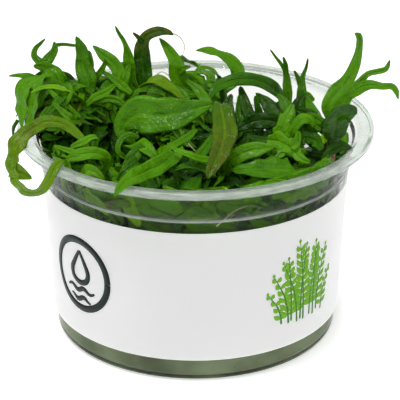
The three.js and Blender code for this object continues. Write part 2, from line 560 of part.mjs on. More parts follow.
      widths: [1.2, 3.8, 7, 8.2, 8, 7.2, 5.6, 3.4, 0.8], faces: [LEFT_UP, FRONT, FRONT, FRONT], steps: 11 },
  ] },
  leaf_pointed: { stem: "stem_front", at: 43.8, color: LEAF_GREEN, blades: [
    { route: [[-14.2, -14.4, 48.8], [-12, -17.2, 50.3], [-10, -19.4, 49.9], [-8, -21.3, 48.2]],
      widths: [1.2, 3.2, 3.8, 3, 0.6], faces: [BACK_UP, UP, FRONT], steps: 8 },
  ] },
  leaf_over_rim: { stem: "stem_front", at: 42, color: LEAF_GREEN, blades: [
    { route: [[-8, -14.6, 47], [-4.4, -18.6, 49.4], [-6, -23.4, 49.6], [-8.8, -28, 49.6], [-11.4, -32, 50],
        [-13.6, -36, 50.6], [-15.6, -39.4, 50.2], [-17, -41.6, 48.8]],
      widths: [1.2, 3, 3.8, 3.8, 3.8, 3.6, 2.8, 0.8], faces: [UP, FRONT, FRONT], steps: 12 },
  ] },
  leaf_low_left: { stem: "stem_front", at: 39.5, color: DARK_GREEN, blades: [
    { route: [[-13, -17, 44], [-12.4, -22, 48.2], [-14.8, -24.4, 47.6], [-17, -25.4, 45.4]],
      widths: [1.2, 3.4, 3.8, 3.2, 0.8], faces: [UP, FRONT], steps: 8 },
  ] },
  // ---- front right
  leaf_bow_left: { stem: "stem_right_front", at: 60, color: LEAF_GREEN, blades: [
    { route: [[4, -23.2, 49.2], [1, -24.2, 50], [-1.6, -24, 51], [-4.4, -22.6, 51.6], [-6.2, -21.4, 52.6]],
      widths: [1.2, 2.4, 2.4, 2, 1.4, 0.5], faces: [UP, UP], steps: 8 },
  ] },
  leaf_bow_right: { stem: "stem_right_front", at: 44.5, color: LEAF_GREEN, blades: [
    { route: [[7.8, -22.2, 49], [10.4, -22.6, 50.8], [13.4, -22.4, 51.6], [17, -21.8, 51.8]],
      widths: [1.2, 3.4, 3.6, 3, 0.8], faces: [FRONT, FRONT], steps: 8 },
  ] },
  leaf_curl: { stem: "stem_middle", at: 60, color: OLIVE_GREEN, blades: [
    { route: [[5.6, -10, 57], [5.6, -13.4, 57.2], [6.1, -17, 55.7], [6.1, -22, 54.1], [4.9, -27, 52.4],
        [3.4, -30.4, 50.5], [2.4, -32, 48.9]],
      widths: [1.4, 2.4, 3.6, 4.9, 5, 4.2, 3, 1.6],
      faces: [UP, FRONT, [0.2, -0.75, 0.6]], steps: 11, fold: 0.3 },
  ] },
  leaf_strap_left: { stem: "stem_middle", at: 46, color: DARK_GREEN, blades: [
    { route: [[9.8, -1, 47.6], [10.2, 2, 50.4], [9.8, 3.6, 54]],
      widths: [1.2, 2.6, 2.6, 2.2, 0.8], faces: [FRONT, FRONT], steps: 7 },
  ] },
  leaf_strap_right: { stem: "stem_middle", at: 42.5, color: DARK_GREEN, blades: [
    { route: [[13, -1.4, 44.6], [14.4, 3, 48], [13.4, 4.4, 53.4]],
      widths: [1.2, 2.4, 2.4, 2, 0.8], faces: [FRONT, FRONT], steps: 7 },
  ] },
};

/** A leaf's blades joined into one solid. */
function leafSolid({ stem, at, blades }, swell = 0) {
  const [first, ...forks] = blades;
  const foot = stalkFoot(stem, at, first.route[0]);
  const main = toSolid(bladeGeometry({ ...first, route: [foot, ...first.route] }, swell));
  return forks.reduce((whole, fork) => whole.add(toSolid(bladeGeometry(fork, swell))), main);
}

// ---------------------------------------------------------------- Packed small leaves

/** Whether a direction and distance from the axis lie in the empty part of the cup. */
function inFreePocket(angle, distance) {
  const turn = Math.atan2(Math.sin(angle - FREE_POCKET.angle), Math.cos(angle - FREE_POCKET.angle));
  return Math.abs(turn) < FREE_POCKET.halfAngle && distance > FREE_POCKET.innerRadius;
}

/** Height that the small leaves reach at a place in the cup. */
function canopyHeight(x, y) {
  return CANOPY.mounds.reduce((height, { at, reach, rise }) => {
    const away = ((x - at[0]) / reach[0]) ** 2 + ((y - at[1]) / reach[1]) ** 2;
    return height + rise * Math.exp(-away);
  }, CANOPY.level);
}

/** One small leaf: it rises from the mat on a thin stalk and bends outward into a flat blade. */
function smallLeaf(number) {
  const angle = number * GOLDEN_ANGLE;
  const spread = Math.sqrt((number + 0.5) / SMALL_LEAF.count);
  const root = SMALL_LEAF.rootRing * spread;
  if (inFreePocket(angle, root + SMALL_LEAF.reach)) return null;
  const bend = angle + (1.2 - spread) * Math.sin(1.9 * number);
  const out = [Math.cos(bend), Math.sin(bend)];
  const foot = [root * Math.cos(angle), root * Math.sin(angle)];
  const at = (share, z) => [
    foot[0] + out[0] * SMALL_LEAF.reach * share,
    foot[1] + out[1] * SMALL_LEAF.reach * share,
    z,
  ];
  const height = canopyHeight(...at(0.65, 0)) + CANOPY.ripple * Math.sin(2.4 * number);
  const low = GEL.top + CLEARANCE + MAT.thickness / 2;
  return bladeGeometry({
    route: [
      at(0, low),
      at(0.08, height * 0.6),
      at(0.25, height * 0.9),
      at(0.65, height),
      at(1, height - SMALL_LEAF.tipDrop),
    ],
    widths: [2, 2.4, 2.8, 4, SMALL_LEAF.width, SMALL_LEAF.width * 0.7, 0.8],
    faces: [[-out[0], -out[1], 0.2], [-out[0], -out[1], 0.6], UP, UP],
    steps: SMALL_LEAF.steps,
    fold: SMALL_LEAF.fold,
  });
}

/** The mat and its small leaves, with room cut for the stems and the large leaves. */
function packedLeavesGeometry(stems, leaves) {
  const low = GEL.top + CLEARANCE;
  const high = low + MAT.thickness;
  const edge = [
    [MAT.radius, low],
    [MAT.radius + MAT.bulge, low + MAT.bulge],
    [MAT.radius - MAT.bulge, high],
  ];
  let mass = toSolid(turned([[0, low], ...edge, [0, high]], MAT.segments));
  for (let number = 0; number < SMALL_LEAF.count; number++) {
    const leaf = smallLeaf(number);
    if (leaf) mass = mass.add(toSolid(leaf));
  }
  for (const { socket } of [...stems, ...leaves]) mass = mass.subtract(socket);
  return toGeometry(largestBody(toSolid(toGeometry(largestBody(mass)), 1e-3)));
}

// ---------------------------------------------------------------- Assembly

const stems = Object.entries(STEM_ROUTES).map(([name, route]) => {
  const [[x, y, z], ...rest] = route;
  const deeper = stemLine([[x, y, z - CLEARANCE], ...rest]);
  return { name, geometry: stemGeometry(stemLine(route)), socket: toSolid(stemGeometry(deeper, CLEARANCE)) };
});

const leaves = Object.entries(LEAVES).map(([name, leaf]) => {
  return { name, color: leaf.color, solid: leafSolid(leaf), socket: leafSolid(leaf, SOCKET_CLEARANCE) };
});

addPiece("cup", cupGeometry(), material(0xe4ece4, 0.15, { transparent: true, opacity: 0.35 }));
addPiece("label", labelGeometry(), material(0xf4f5f2, 0.5));
addPiece("nutrient_gel", gelGeometry(stems), material(0xa4b08c, 0.3, { transparent: true, opacity: 0.7 }));
for (const { name, geometry } of stems) {
  addPiece(name, geometry, material(name === "stem_right" ? RUSTY_STEM : STEM_GREEN, 0.4));
}
for (const { name, color, solid } of leaves) {
  addPiece(name, toGeometry(solid), material(color, 0.35));
}
addPiece("packed_leaves", packedLeavesGeometry(stems, leaves), material(DARK_GREEN, 0.4));

export default group;
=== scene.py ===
"""Water wisteria packed in a clear culture cup: its looks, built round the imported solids.

Tables and shapes are in millimetres, +Z up, with the origin under the middle of the cup; meshes
are written in metres. Every surface of the plant, the cup and the label is a set of rings of points
carried along a line and computed as whole arrays. Every finish is a small procedural node tree.
"""

from __future__ import annotations

import logging
import math
from dataclasses import dataclass, field, fields, replace
from enum import Enum

import bpy
import numpy as np
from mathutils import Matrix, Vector

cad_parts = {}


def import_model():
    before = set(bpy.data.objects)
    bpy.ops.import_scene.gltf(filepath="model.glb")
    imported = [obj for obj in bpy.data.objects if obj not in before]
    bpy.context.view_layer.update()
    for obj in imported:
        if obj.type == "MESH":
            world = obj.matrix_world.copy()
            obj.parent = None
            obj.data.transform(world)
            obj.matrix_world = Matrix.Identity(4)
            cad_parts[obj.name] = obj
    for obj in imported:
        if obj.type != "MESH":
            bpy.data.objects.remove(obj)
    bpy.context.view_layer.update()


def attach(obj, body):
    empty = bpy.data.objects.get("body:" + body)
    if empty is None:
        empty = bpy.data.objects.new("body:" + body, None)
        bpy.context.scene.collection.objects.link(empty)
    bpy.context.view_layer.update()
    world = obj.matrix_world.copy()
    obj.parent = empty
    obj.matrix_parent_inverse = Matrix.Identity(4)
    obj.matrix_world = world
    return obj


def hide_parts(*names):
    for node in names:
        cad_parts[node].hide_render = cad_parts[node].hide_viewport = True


LOG = logging.getLogger("water_wisteria")
BODY = "root"
MM = 0.001
GOLDEN_ANGLE = math.pi * (3 - math.sqrt(5))

Point = tuple[float, float, float]
Colour = tuple[float, float, float]

# Directions that a leaf's upper face can look in
FRONT: Point = (0, -0.9, 0.43)
UP: Point = (0, -0.25, 0.97)
LEFT: Point = (-0.9, -0.35, 0.25)
LEFT_UP: Point = (-0.55, -0.35, 0.75)
RIGHT: Point = (0.85, -0.45, 0.25)
RIGHT_UP: Point = (0.5, -0.5, 0.7)
BACK_UP: Point = (0, 0.5, 0.85)


# ---------------------------------------------------------------- Arrays


def unit(vectors: np.ndarray) -> np.ndarray:
    """Scales vectors, held along the last axis, to length one."""
    return vectors / np.maximum(np.linalg.norm(vectors, axis=-1, keepdims=True), 1e-9)


def ease(values: np.ndarray, low: float, high: float) -> np.ndarray:
    """Rises smoothly from 0 at low to 1 at high: 3t^2 - 2t^3."""
    share = np.clip((np.asarray(values, float) - low) / (high - low), 0, 1)
    return share * share * (3 - 2 * share)


def spread(values: tuple, shares: np.ndarray) -> np.ndarray:
    """Reads a list of numbers or points, given at even steps, at shares from 0 to 1.

    Args:
        values: numbers, or points of three numbers.
        shares: places to read, from 0 at the first value to 1 at the last.

    Returns:
        One value or point for each share, mixed in a straight line between its neighbours.
    """
    known = np.array(values, float)
    places = np.linspace(0, 1, len(known)) if len(known) > 1 else np.zeros(1)
    if known.ndim == 1:
        return np.interp(shares, places, known)
    return np.stack([np.interp(shares, places, column) for column in known.T], -1)


def evened(values: np.ndarray, width: float) -> np.ndarray:
    """Blurs values along their first axis with a bell curve that many steps wide."""
    place = np.arange(len(values))
    bell = np.exp(-(((place[:, None] - place[None, :]) / max(width, 1e-3)) ** 2))
    bell /= bell.sum(1, keepdims=True)
    return np.tensordot(bell, values, axes=(1, 0))


def polar(turn: np.ndarray, radius: np.ndarray | float, height: np.ndarray | float) -> np.ndarray:
    """Points at angles, radii and heights round the upright axis; the three broadcast together."""
    parts = np.broadcast_arrays(np.cos(turn) * radius, np.sin(turn) * radius, height)
    return np.stack(parts, -1)


def lumps(points: np.ndarray, size: float, seed: int) -> np.ndarray:
    """Smooth unevenness from about -1 to 1: the mean of sine waves in different directions, scaled up.

    Args:
        points: places in millimetres, along the last axis.
        size: length of a typical wave in millimetres.
        seed: which directions and phases are drawn.

    Returns:
        One number for each place.
    """
    waves, gain = 7, 1.6
    draw = np.random.default_rng(seed)
    ways = unit(draw.normal(size=(waves, 3))) * draw.uniform(0.7, 1.6, (waves, 1)) * (2 * math.pi / size)
    phases = draw.uniform(0, 2 * math.pi, waves)
    return np.sin(points @ ways.T + phases).mean(-1) * gain


class Course:
    """A smooth line through points, read by its length: a centripetal Catmull-Rom spline."""

    SAMPLES = 48

    def __init__(self, points: tuple) -> None:
        """Samples the spline densely.

        Args:
            points: the points that the line passes through, in millimetres.
        """
        known = np.array(points, float)
        before, after = 2 * known[:1] - known[1:2], 2 * known[-1:] - known[-2:-1]
        knots = np.concatenate((before, known, after))
        gaps = np.sqrt(np.linalg.norm(np.diff(knots, axis=0), axis=1))[:, None]
        p0, p1, p2, p3 = (knots[i : len(knots) - 3 + i] for i in range(4))
        g0, g1, g2 = (gaps[i : len(gaps) - 2 + i] for i in range(3))
        leave = ((p1 - p0) / g0 - (p2 - p0) / (g0 + g1) + (p2 - p1) / g1) * g1
        arrive = ((p2 - p1) / g1 - (p3 - p1) / (g1 + g2) + (p3 - p2) / g2) * g1
        t = np.linspace(0, 1, self.SAMPLES, endpoint=False)[:, None, None]
        cubic = 2 * p1 - 2 * p2 + leave + arrive
        square = -3 * p1 + 3 * p2 - 2 * leave - arrive
        line = cubic * t**3 + square * t**2 + leave * t + p1
        self.line = np.concatenate((line.transpose(1, 0, 2).reshape(-1, 3), known[-1:]))
        steps = np.linalg.norm(np.diff(self.line, axis=0), axis=1)
        self.reach = np.concatenate(([0.0], np.cumsum(steps)))
        self.length = float(self.reach[-1])

    def at(self, shares: np.ndarray) -> np.ndarray:
        """Points at shares of the line's length."""
        lengths = np.asarray(shares) * self.length
        return np.stack([np.interp(lengths, self.reach, axis) for axis in self.line.T], -1)

    def ahead(self, shares: np.ndarray) -> np.ndarray:
        """Directions of travel at shares of the line's length."""
        nudge = 0.02
        return unit(self.at(np.minimum(shares + nudge, 1)) - self.at(np.maximum(shares - nudge, 0)))

    def share_at_height(self, height: float) -> float:
        """Share of the length at which a rising line reaches a height."""
        heights = np.maximum.accumulate(self.line[:, 2])
        return float(np.interp(height, heights, self.reach) / self.length)


def tube(line: Course, shares: np.ndarray, hint: Point, turn: np.ndarray, radius: np.ndarray) -> np.ndarray:
    """Carries a round section along a line.

    Args:
        line: the centre line.
        shares: where the sections stand, as shares of its length.
        hint: a direction that the line doesn't run in, which the first points lie square to.
        turn: angles of the points of a section.
        radius: radius of each point, as station and place in the section.

    Returns:
        Rings as station, place in the ring, axis.
    """
    centre, ahead = line.at(shares), line.ahead(shares)
    aside = unit(np.cross(ahead, np.array(hint)))
    other = np.cross(ahead, aside)
    ring = np.cos(turn)[:, None] * aside[:, None] + np.sin(turn)[:, None] * other[:, None]
    return centre[:, None] + radius[..., None] * ring


def marks_over(shape: tuple[int, ...], **values: object) -> dict[str, np.ndarray]:
    """Spreads the numbers that the finishes read over every point of a skin of that shape."""
    return {name: np.broadcast_to(np.asarray(value, float), shape) for name, value in values.items()}


@dataclass
class Skin:
    """Closed skins of one build: rings of points along a line, drawn to a point at both ends.

    Attributes:
        rings: places in millimetres, as skin, station, place in the ring, axis.
        marks: numbers that finishes read, each as skin, station, place in the ring.
    """

    rings: np.ndarray
    marks: dict[str, np.ndarray] = field(default_factory=dict)

    def flat(self) -> tuple[np.ndarray, np.ndarray, np.ndarray, dict[str, np.ndarray]]:
        """Lays the skins out as one list of points with faces.

        Point i of station j joins point i + 1 and station j + 1 in a quad; the first and last
        ring are closed by a fan to their middle.

        Returns:
            Points, quads, triangles and the marks at each point.
        """
        skins, stations, places, _ = self.rings.shape
        body = self.rings.reshape(skins, stations * places, 3)
        ends = self.rings[:, [0, -1]].mean(2)
        points = np.concatenate((body, ends), 1)
        here = np.arange(places)
        beside = (here + 1) % places
        row = (np.arange(stations - 1) * places)[:, None]
        quads = np.stack(
            (row + here, row + beside, row + beside + places, row + here + places), -1
        ).reshape(-1, 4)
        last = (stations - 1) * places
        first_pole = np.full(places, stations * places)
        fans = np.concatenate(
            (
                np.stack((beside, here, first_pole), -1),
                np.stack((last + here, last + beside, first_pole + 1), -1),
            )
        )
        first = (np.arange(skins) * (stations * places + 2))[:, None, None]
        marks = {}
        for name, values in self.marks.items():
            tips = values[:, [0, -1]].mean(2)
            marks[name] = np.concatenate((values.reshape(skins, -1), tips), 1).ravel()
        return points.reshape(-1, 3), (quads + first).reshape(-1, 4), (fans + first).reshape(-1, 3), marks


def outward(points: np.ndarray, quads: np.ndarray, fans: np.ndarray) -> bool:
    """Whether the faces look outward: the sum of their signed volumes is above zero."""
    corners = np.concatenate((quads[:, [0, 1, 2]], quads[:, [0, 2, 3]], fans))
    a, b, c = (points[corners[:, i]] for i in range(3))
    return float((a * np.cross(b, c)).sum()) > 0


def make_piece(
    name: str,
    skins: list[Skin],
    finish: bpy.types.Material,
    replaced: tuple[str, ...] = (),
    crease: float | None = None,
) -> None:
    """Joins skins into one object that rides on the cup and stands for its solids.

    Args:
        name: name of the piece.
        skins: closed skins in millimetres.
        finish: its material.
        replaced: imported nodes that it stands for.
        crease: angle in degrees past which an edge stays sharp, or None.
    """
    points, quads, fans, marks = [], [], [], {}
    start = 0
    for skin in skins:
        places, four, three, values = skin.flat()
        if not outward(places, four, three):
            four, three = four[:, ::-1], three[:, ::-1]
        points.append(places)
        quads.append(four + start)
        fans.append(three + start)
        for key, value in values.items():
            marks.setdefault(key, []).append(value)
        start += len(places)
    mesh = bpy.data.meshes.new(name)
    where = np.concatenate(points).astype(np.float32) * MM
    groups = (np.concatenate(quads), np.concatenate(fans))
    corners = np.concatenate([group.ravel() for group in groups]).astype(np.int32)
    counts = np.concatenate([np.full(len(group), group.shape[1]) for group in groups])
    mesh.vertices.add(len(where))
    mesh.vertices.foreach_set("co", where.ravel())
    mesh.loops.add(len(corners))
    mesh.loops.foreach_set("vertex_index", corners)
    mesh.polygons.add(len(counts))
    mesh.polygons.foreach_set("loop_start", np.concatenate(([0], np.cumsum(counts)[:-1])).astype(np.int32))
    mesh.update(calc_edges=True)
    mesh.polygons.foreach_set("use_smooth", np.ones(len(counts), bool))
    if crease is not None:
        mesh.set_sharp_from_angle(angle=math.radians(crease))
    for key, values in marks.items():
        attribute = mesh.attributes.new(key, "FLOAT", "POINT")
        attribute.data.foreach_set("value", np.concatenate(values).astype(np.float32))
    mesh.materials.append(finish)
    piece = bpy.data.objects.new(name, mesh)
    bpy.context.scene.collection.objects.link(piece)
    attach(piece, BODY)
    if replaced:
        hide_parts(*replaced)
    LOG.info("%s: %d faces, for %s", name, len(counts), ", ".join(replaced) or "no solid")


# ---------------------------------------------------------------- Finishes


class Graph:
    """A material's node tree, with short ways to add the nodes that the finishes need."""

    def __init__(self, name: str) -> None:
        """Starts a material with one Principled shader."""
        self.material = bpy.data.materials.new(name)
        self.material.use_nodes = True
        self.tree = self.material.node_tree
        self.shader = self.tree.nodes["Principled BSDF"]
        self.output = self.tree.nodes["Material Output"]

    def node(self, kind: str, inputs: dict | None = None, **settings: object) -> bpy.types.Node:
        """Adds a node.

        Args:
            kind: node type.
            inputs: values or sockets for its inputs, by name or number.
            settings: its own options.

        Returns:
            The node.
        """
        node = self.tree.nodes.new(kind)
        for key, value in settings.items():
            setattr(node, key, value)
        for key, value in (inputs or {}).items():
            self.feed(node.inputs[key], value)
        return node

    def feed(self, socket: bpy.types.NodeSocket, value: object) -> None:
        """Links a socket to an input, or sets the input to a value."""
        if isinstance(value, bpy.types.NodeSocket):
            self.tree.links.new(value, socket)
        elif socket.type == "RGBA" and len(value) == 3:
            socket.default_value = (*value, 1.0)
        else:
            socket.default_value = value

    def calc(self, kind: str, *values: object, clamp: bool = False) -> bpy.types.NodeSocket:
        """Works out one step of arithmetic on numbers."""
        inputs = dict(enumerate(values))
        return self.node("ShaderNodeMath", inputs, operation=kind, use_clamp=clamp).outputs[0]

    def plus(self, first: object, second: object) -> bpy.types.NodeSocket:
        """Adds two numbers."""
        return self.calc("ADD", first, second)

    def times(self, first: object, second: object, clamp: bool = False) -> bpy.types.NodeSocket:
        """Multiplies two numbers."""
        return self.calc("MULTIPLY", first, second, clamp=clamp)

    def between(
        self, value: object, low: float, high: float, start: float = 0.0, end: float = 1.0
    ) -> bpy.types.NodeSocket:
        """Maps a number smoothly from low..high to start..end."""
        inputs = {"Value": value, "From Min": low, "From Max": high, "To Min": start, "To Max": end}
        return self.node("ShaderNodeMapRange", inputs, interpolation_type="SMOOTHSTEP").outputs[0]

    def mark(self, name: str) -> bpy.types.NodeSocket:
        """Reads a number kept at the points of the mesh."""
        return self.node("ShaderNodeAttribute", attribute_name=name).outputs["Fac"]

    def place(self) -> bpy.types.NodeSocket:
        """Reads the place on the object, in metres."""
        return self.node("ShaderNodeTexCoord").outputs["Object"]

    def vector(self, x: object, y: object, z: object) -> bpy.types.NodeSocket:
        """Puts three numbers together."""
        return self.node("ShaderNodeCombineXYZ", {0: x, 1: y, 2: z}).outputs[0]

    def noise(self, where: object, scale: float, detail: float = 2.0) -> bpy.types.NodeSocket:
        """Cloudy noise from 0 to 1, whose clouds are about 1 / scale across in the unit of where."""
        inputs = {"Vector": where, "Scale": scale, "Detail": detail}
        return self.node("ShaderNodeTexNoise", inputs).outputs[0]

    def blend(self, share: object, first: object, second: object, kind: str = "MIX") -> bpy.types.NodeSocket:
        """Mixes two colours."""
        node = self.node("ShaderNodeMix", data_type="RGBA", blend_type=kind)
        for socket, value in zip((node.inputs[0], node.inputs[6], node.inputs[7]), (share, first, second)):
            self.feed(socket, value)
        return node.outputs[2]

    def bump(self, height: object, depth: float, under: object | None = None) -> bpy.types.NodeSocket:
        """Raises the surface by height times depth in metres, on top of another bump."""
        inputs = {"Height": height, "Distance": depth, "Strength": 1.0}
        if under is not None:
            inputs["Normal"] = under
        return self.node("ShaderNodeBump", inputs).outputs[0]

    def dress(self, **inputs: object) -> bpy.types.Material:
        """Sets the shader's inputs, with spaces in their names written as underscores."""
        for key, value in inputs.items():
            self.feed(self.shader.inputs[key.replace("_", " ")], value)
        return self.material


class Tone(Enum):
    """The four greens of the leaves, by their material slots. The dark green is partly the leaves' own
    darker colour and partly painted shade: leaves deep in the tangle and in its shaded gaps get it in place
    of the fresh green.
    """

    FRESH = "leaf_green"
    DARK = "leaf_dark"
    OLIVE = "leaf_olive"
    PALE = "leaf_pale"


FRESH, DARK, OLIVE, PALE = Tone


@dataclass(frozen=True)
class LeafFinish:
    """Living leaf: blotched green with a paler midrib, dark side veins and a wet cuticle.

    The marks are across, from -1 to 1 between the margins; along, millimetres from the base;
    tint, one number a leaf; and rust, how far it has aged.

    Attributes:
        name: name of the material.
        light: green of the lightest blotches.
        deep: green of the darkest blotches, of the veins and of the specks.
        rib: green of the midrib.
        aged: brown that old parts turn to.
        vein_gap: millimetres from one side vein to the next.
        vein_show: how strongly a vein is coloured.
        rib_show: how strongly the midrib is coloured.
    """

    name: str
    light: Colour
    deep: Colour
    rib: Colour
    aged: Colour = (0.085, 0.062, 0.008)
    vein_gap: float = 2.4
    vein_show: float = 0.05
    rib_show: float = 0.16

    def build(self) -> bpy.types.Material:
        """Makes the material: colour from blotches, veins and age; bump from veins and blisters."""
        g = Graph(self.name)
        place, across, along = g.place(), g.mark("across"), g.mark("along")
        tint, rust = g.mark("tint"), g.mark("rust")
        off_middle = g.calc("ABSOLUTE", across)
        blotch, fine = g.noise(place, 150.0, 3.0), g.noise(place, 900.0)
        drawn_out = g.vector(g.times(across, 5.0), g.times(along, 0.22), g.times(tint, 31.0))
        grain = g.noise(drawn_out, 1.0, 3.0)
        slant = g.plus(g.calc("DIVIDE", along, self.vein_gap), g.times(off_middle, -1.3))
        vein = g.between(g.calc("SINE", g.times(slant, 2 * math.pi)), 0.72, 1.0)
        rib = g.between(off_middle, 0.17, 0.03)
        share = g.plus(g.times(tint, 0.6), g.times(blotch, 0.7))
        share = g.plus(share, g.times(g.calc("SUBTRACT", grain, 0.5), 0.7))
        colour = g.blend(g.between(share, 0.2, 1.05), self.deep, self.light)
        colour = g.blend(g.times(vein, self.vein_show), colour, self.deep)
        colour = g.blend(g.times(rib, self.rib_show), colour, self.rib)
        speck = g.between(g.noise(place, 2400.0, 1.0), 0.66, 0.74, 0.0, 0.45)
        colour = g.blend(speck, colour, self.deep)
        worn = g.between(g.plus(fine, g.times(blotch, 0.6)), 0.55, 1.05)
        colour = g.blend(g.times(rust, worn, clamp=True), colour, self.aged)
        relief = g.plus(g.times(vein, -0.1), g.times(rib, -0.5))
        normal = g.bump(g.plus(relief, grain), 0.0002)
        normal = g.bump(g.noise(place, 380.0, 3.0), 0.0009, normal)
        return g.dress(
            Base_Color=colour,
            Roughness=g.between(fine, 0.3, 0.75, 0.3, 0.5),
            Normal=normal,
            Coat_Normal=normal,
            Specular_IOR_Level=0.04,
            Coat_Weight=0.38,
            Coat_Roughness=0.04,
            Subsurface_Weight=0.12,
            Subsurface_Radius=(0.3, 1.0, 0.1),
            Subsurface_Scale=0.0006,
        )


@dataclass(frozen=True)
class StemFinish:
    """Stem skin: two colours in patches, with fine lengthwise ridges.

    Attributes:
        name: name of the material.
        green: colour of the living skin.
        rusty: colour where the mark rust is high.
        rust_share: how much of such a stretch is rusty.
    """

    name: str
    green: Colour
    rusty: Colour
    rust_share: float

    def build(self) -> bpy.types.Material:
        """Makes the material from noise drawn out along the stem."""
        g = Graph(self.name)
        across, along = g.mark("across"), g.mark("along")
        streak = g.noise(g.vector(g.times(across, 4.0), g.times(along, 0.08), 0.0), 2.0, 3.0)
        patch = g.noise(g.place(), 130.0, 3.0)
        low = 1.0 - self.rust_share
        mix = g.plus(g.times(streak, 0.5), g.times(patch, 0.5))
        share = g.times(g.between(mix, low - 0.35, low - 0.05), g.mark("rust"))
        return g.dress(
            Base_Color=g.blend(share, self.green, self.rusty),
            Roughness=0.36,
            Normal=g.bump(streak, 0.0002),
            Coat_Weight=0.3,
            Coat_Roughness=0.1,
            Specular_IOR_Level=0.3,
            Subsurface_Weight=0.15,
            Subsurface_Radius=(0.5, 0.8, 0.2),
            Subsurface_Scale=0.0008,
        )


@dataclass(frozen=True)
class CupFinish:
    """Thin clear moulded plastic: glassy wall, milkier in the flange, with faint drawn streaks and a painted
    highlight line at the step.

    Attributes:
        name: name of the material.
        tint, milk: colour of the clear wall and of the milky parts, which include the painted highlight line
            at the step; the green cast of milk is painted light, from the leaves behind the flange.
        smoke, smoke_density: colour that light takes on inside the plastic, and how fast.
    """

    name: str = "cup_plastic"
    tint: Colour = (0.725, 0.73, 0.71)
    milk: Colour = (0.675, 0.73, 0.67)
    smoke: Colour = (0.72, 0.84, 0.76)
    smoke_density: float = 90.0

    def build(self) -> bpy.types.Material:
        """Makes the material: transmission falls in the milky flange, in the painted highlight line at the
        step, and with the streaks.
        """
        g = Graph(self.name)
        place, haze = g.place(), g.mark("haze")
        drawn_out = g.vector(g.times(g.mark("turn"), 9.0), g.times(g.mark("height"), 1.4), 0.0)
        streak = g.noise(drawn_out, 1.0, 4.0)
        cloud = g.noise(place, 260.0, 3.0)
        veil = g.times(haze, g.plus(g.times(streak, 0.42), g.times(cloud, 0.12)))
        normal = g.bump(g.times(streak, haze), 0.0002)
        normal = g.bump(g.noise(place, 160.0), 0.00003, normal)
        absorb = g.node("ShaderNodeVolumeAbsorption", {"Color": self.smoke, "Density": self.smoke_density})
        g.tree.links.new(absorb.outputs[0], g.output.inputs["Volume"])
        return g.dress(
            Base_Color=g.blend(haze, self.tint, self.milk),
            Roughness=0.04,
            IOR=1.13,
            Transmission_Weight=g.calc("SUBTRACT", 1.0, veil, clamp=True),
            Normal=normal,
        )


@dataclass(frozen=True)
class GelFinish:
    """Set nutrient gel: cloudy grey-green jelly with dark specks."""

    name: str = "gel"
    pale: Colour = (0.42, 0.50, 0.29)
    dark: Colour = (0.13, 0.17, 0.08)
    specks: Colour = (0.05, 0.07, 0.02)

    def build(self) -> bpy.types.Material:
        """Makes the material from two sizes of cloud under a smooth wet skin."""
        g = Graph(self.name)
        place = g.place()
        cloud = g.noise(place, 70.0, 4.0)
        colour = g.blend(g.between(cloud, 0.3, 0.7), self.dark, self.pale)
        speck = g.between(g.noise(place, 900.0), 0.66, 0.74, 0.0, 0.5)
        return g.dress(
            Base_Color=g.blend(speck, colour, self.specks),
            Roughness=0.3,
            Normal=g.bump(cloud, 0.0004),
            Transmission_Weight=0.25,
            IOR=1.34,
            Subsurface_Weight=0.25,
            Subsurface_Radius=(0.8, 1.0, 0.6),
            Subsurface_Scale=0.002,
        )


@dataclass(frozen=True)
class FilmFinish:
    """Plastic film or ink: satin, with the slightest waviness where it is stuck on.

    Attributes:
        name: name of the material.
        colour: its colour.
        rough: roughness of its skin.
        glow: share of the light that spreads inside it.
        lit: light that it gives off, which stands for light from the room that passes through it.
    """

    name: str
    colour: Colour
    rough: float = 0.38
    glow: float = 0.0
    lit: float = 0.0

    def build(self) -> bpy.types.Material:
        """Makes the material: a colour that drifts a little, and shallow waves."""
        g = Graph(self.name)
        place = g.place()
        shade = tuple(0.94 * value for value in self.colour)
        colour = g.blend(g.between(g.noise(place, 45.0), 0.35, 0.7), shade, self.colour)
        normal = g.bump(g.noise(place, 55.0, 1.0), 0.0001)
        normal = g.bump(g.noise(place, 2600.0, 1.0), 0.000006, normal)
        return g.dress(
            Base_Color=colour,
            Roughness=self.rough,
            Normal=normal,
            Specular_IOR_Level=0.15,
            Subsurface_Weight=self.glow,
            Subsurface_Radius=(1.0, 1.0, 1.0),
            Subsurface_Scale=0.003,
            Emission_Color=colour,
            Emission_Strength=self.lit,
        )


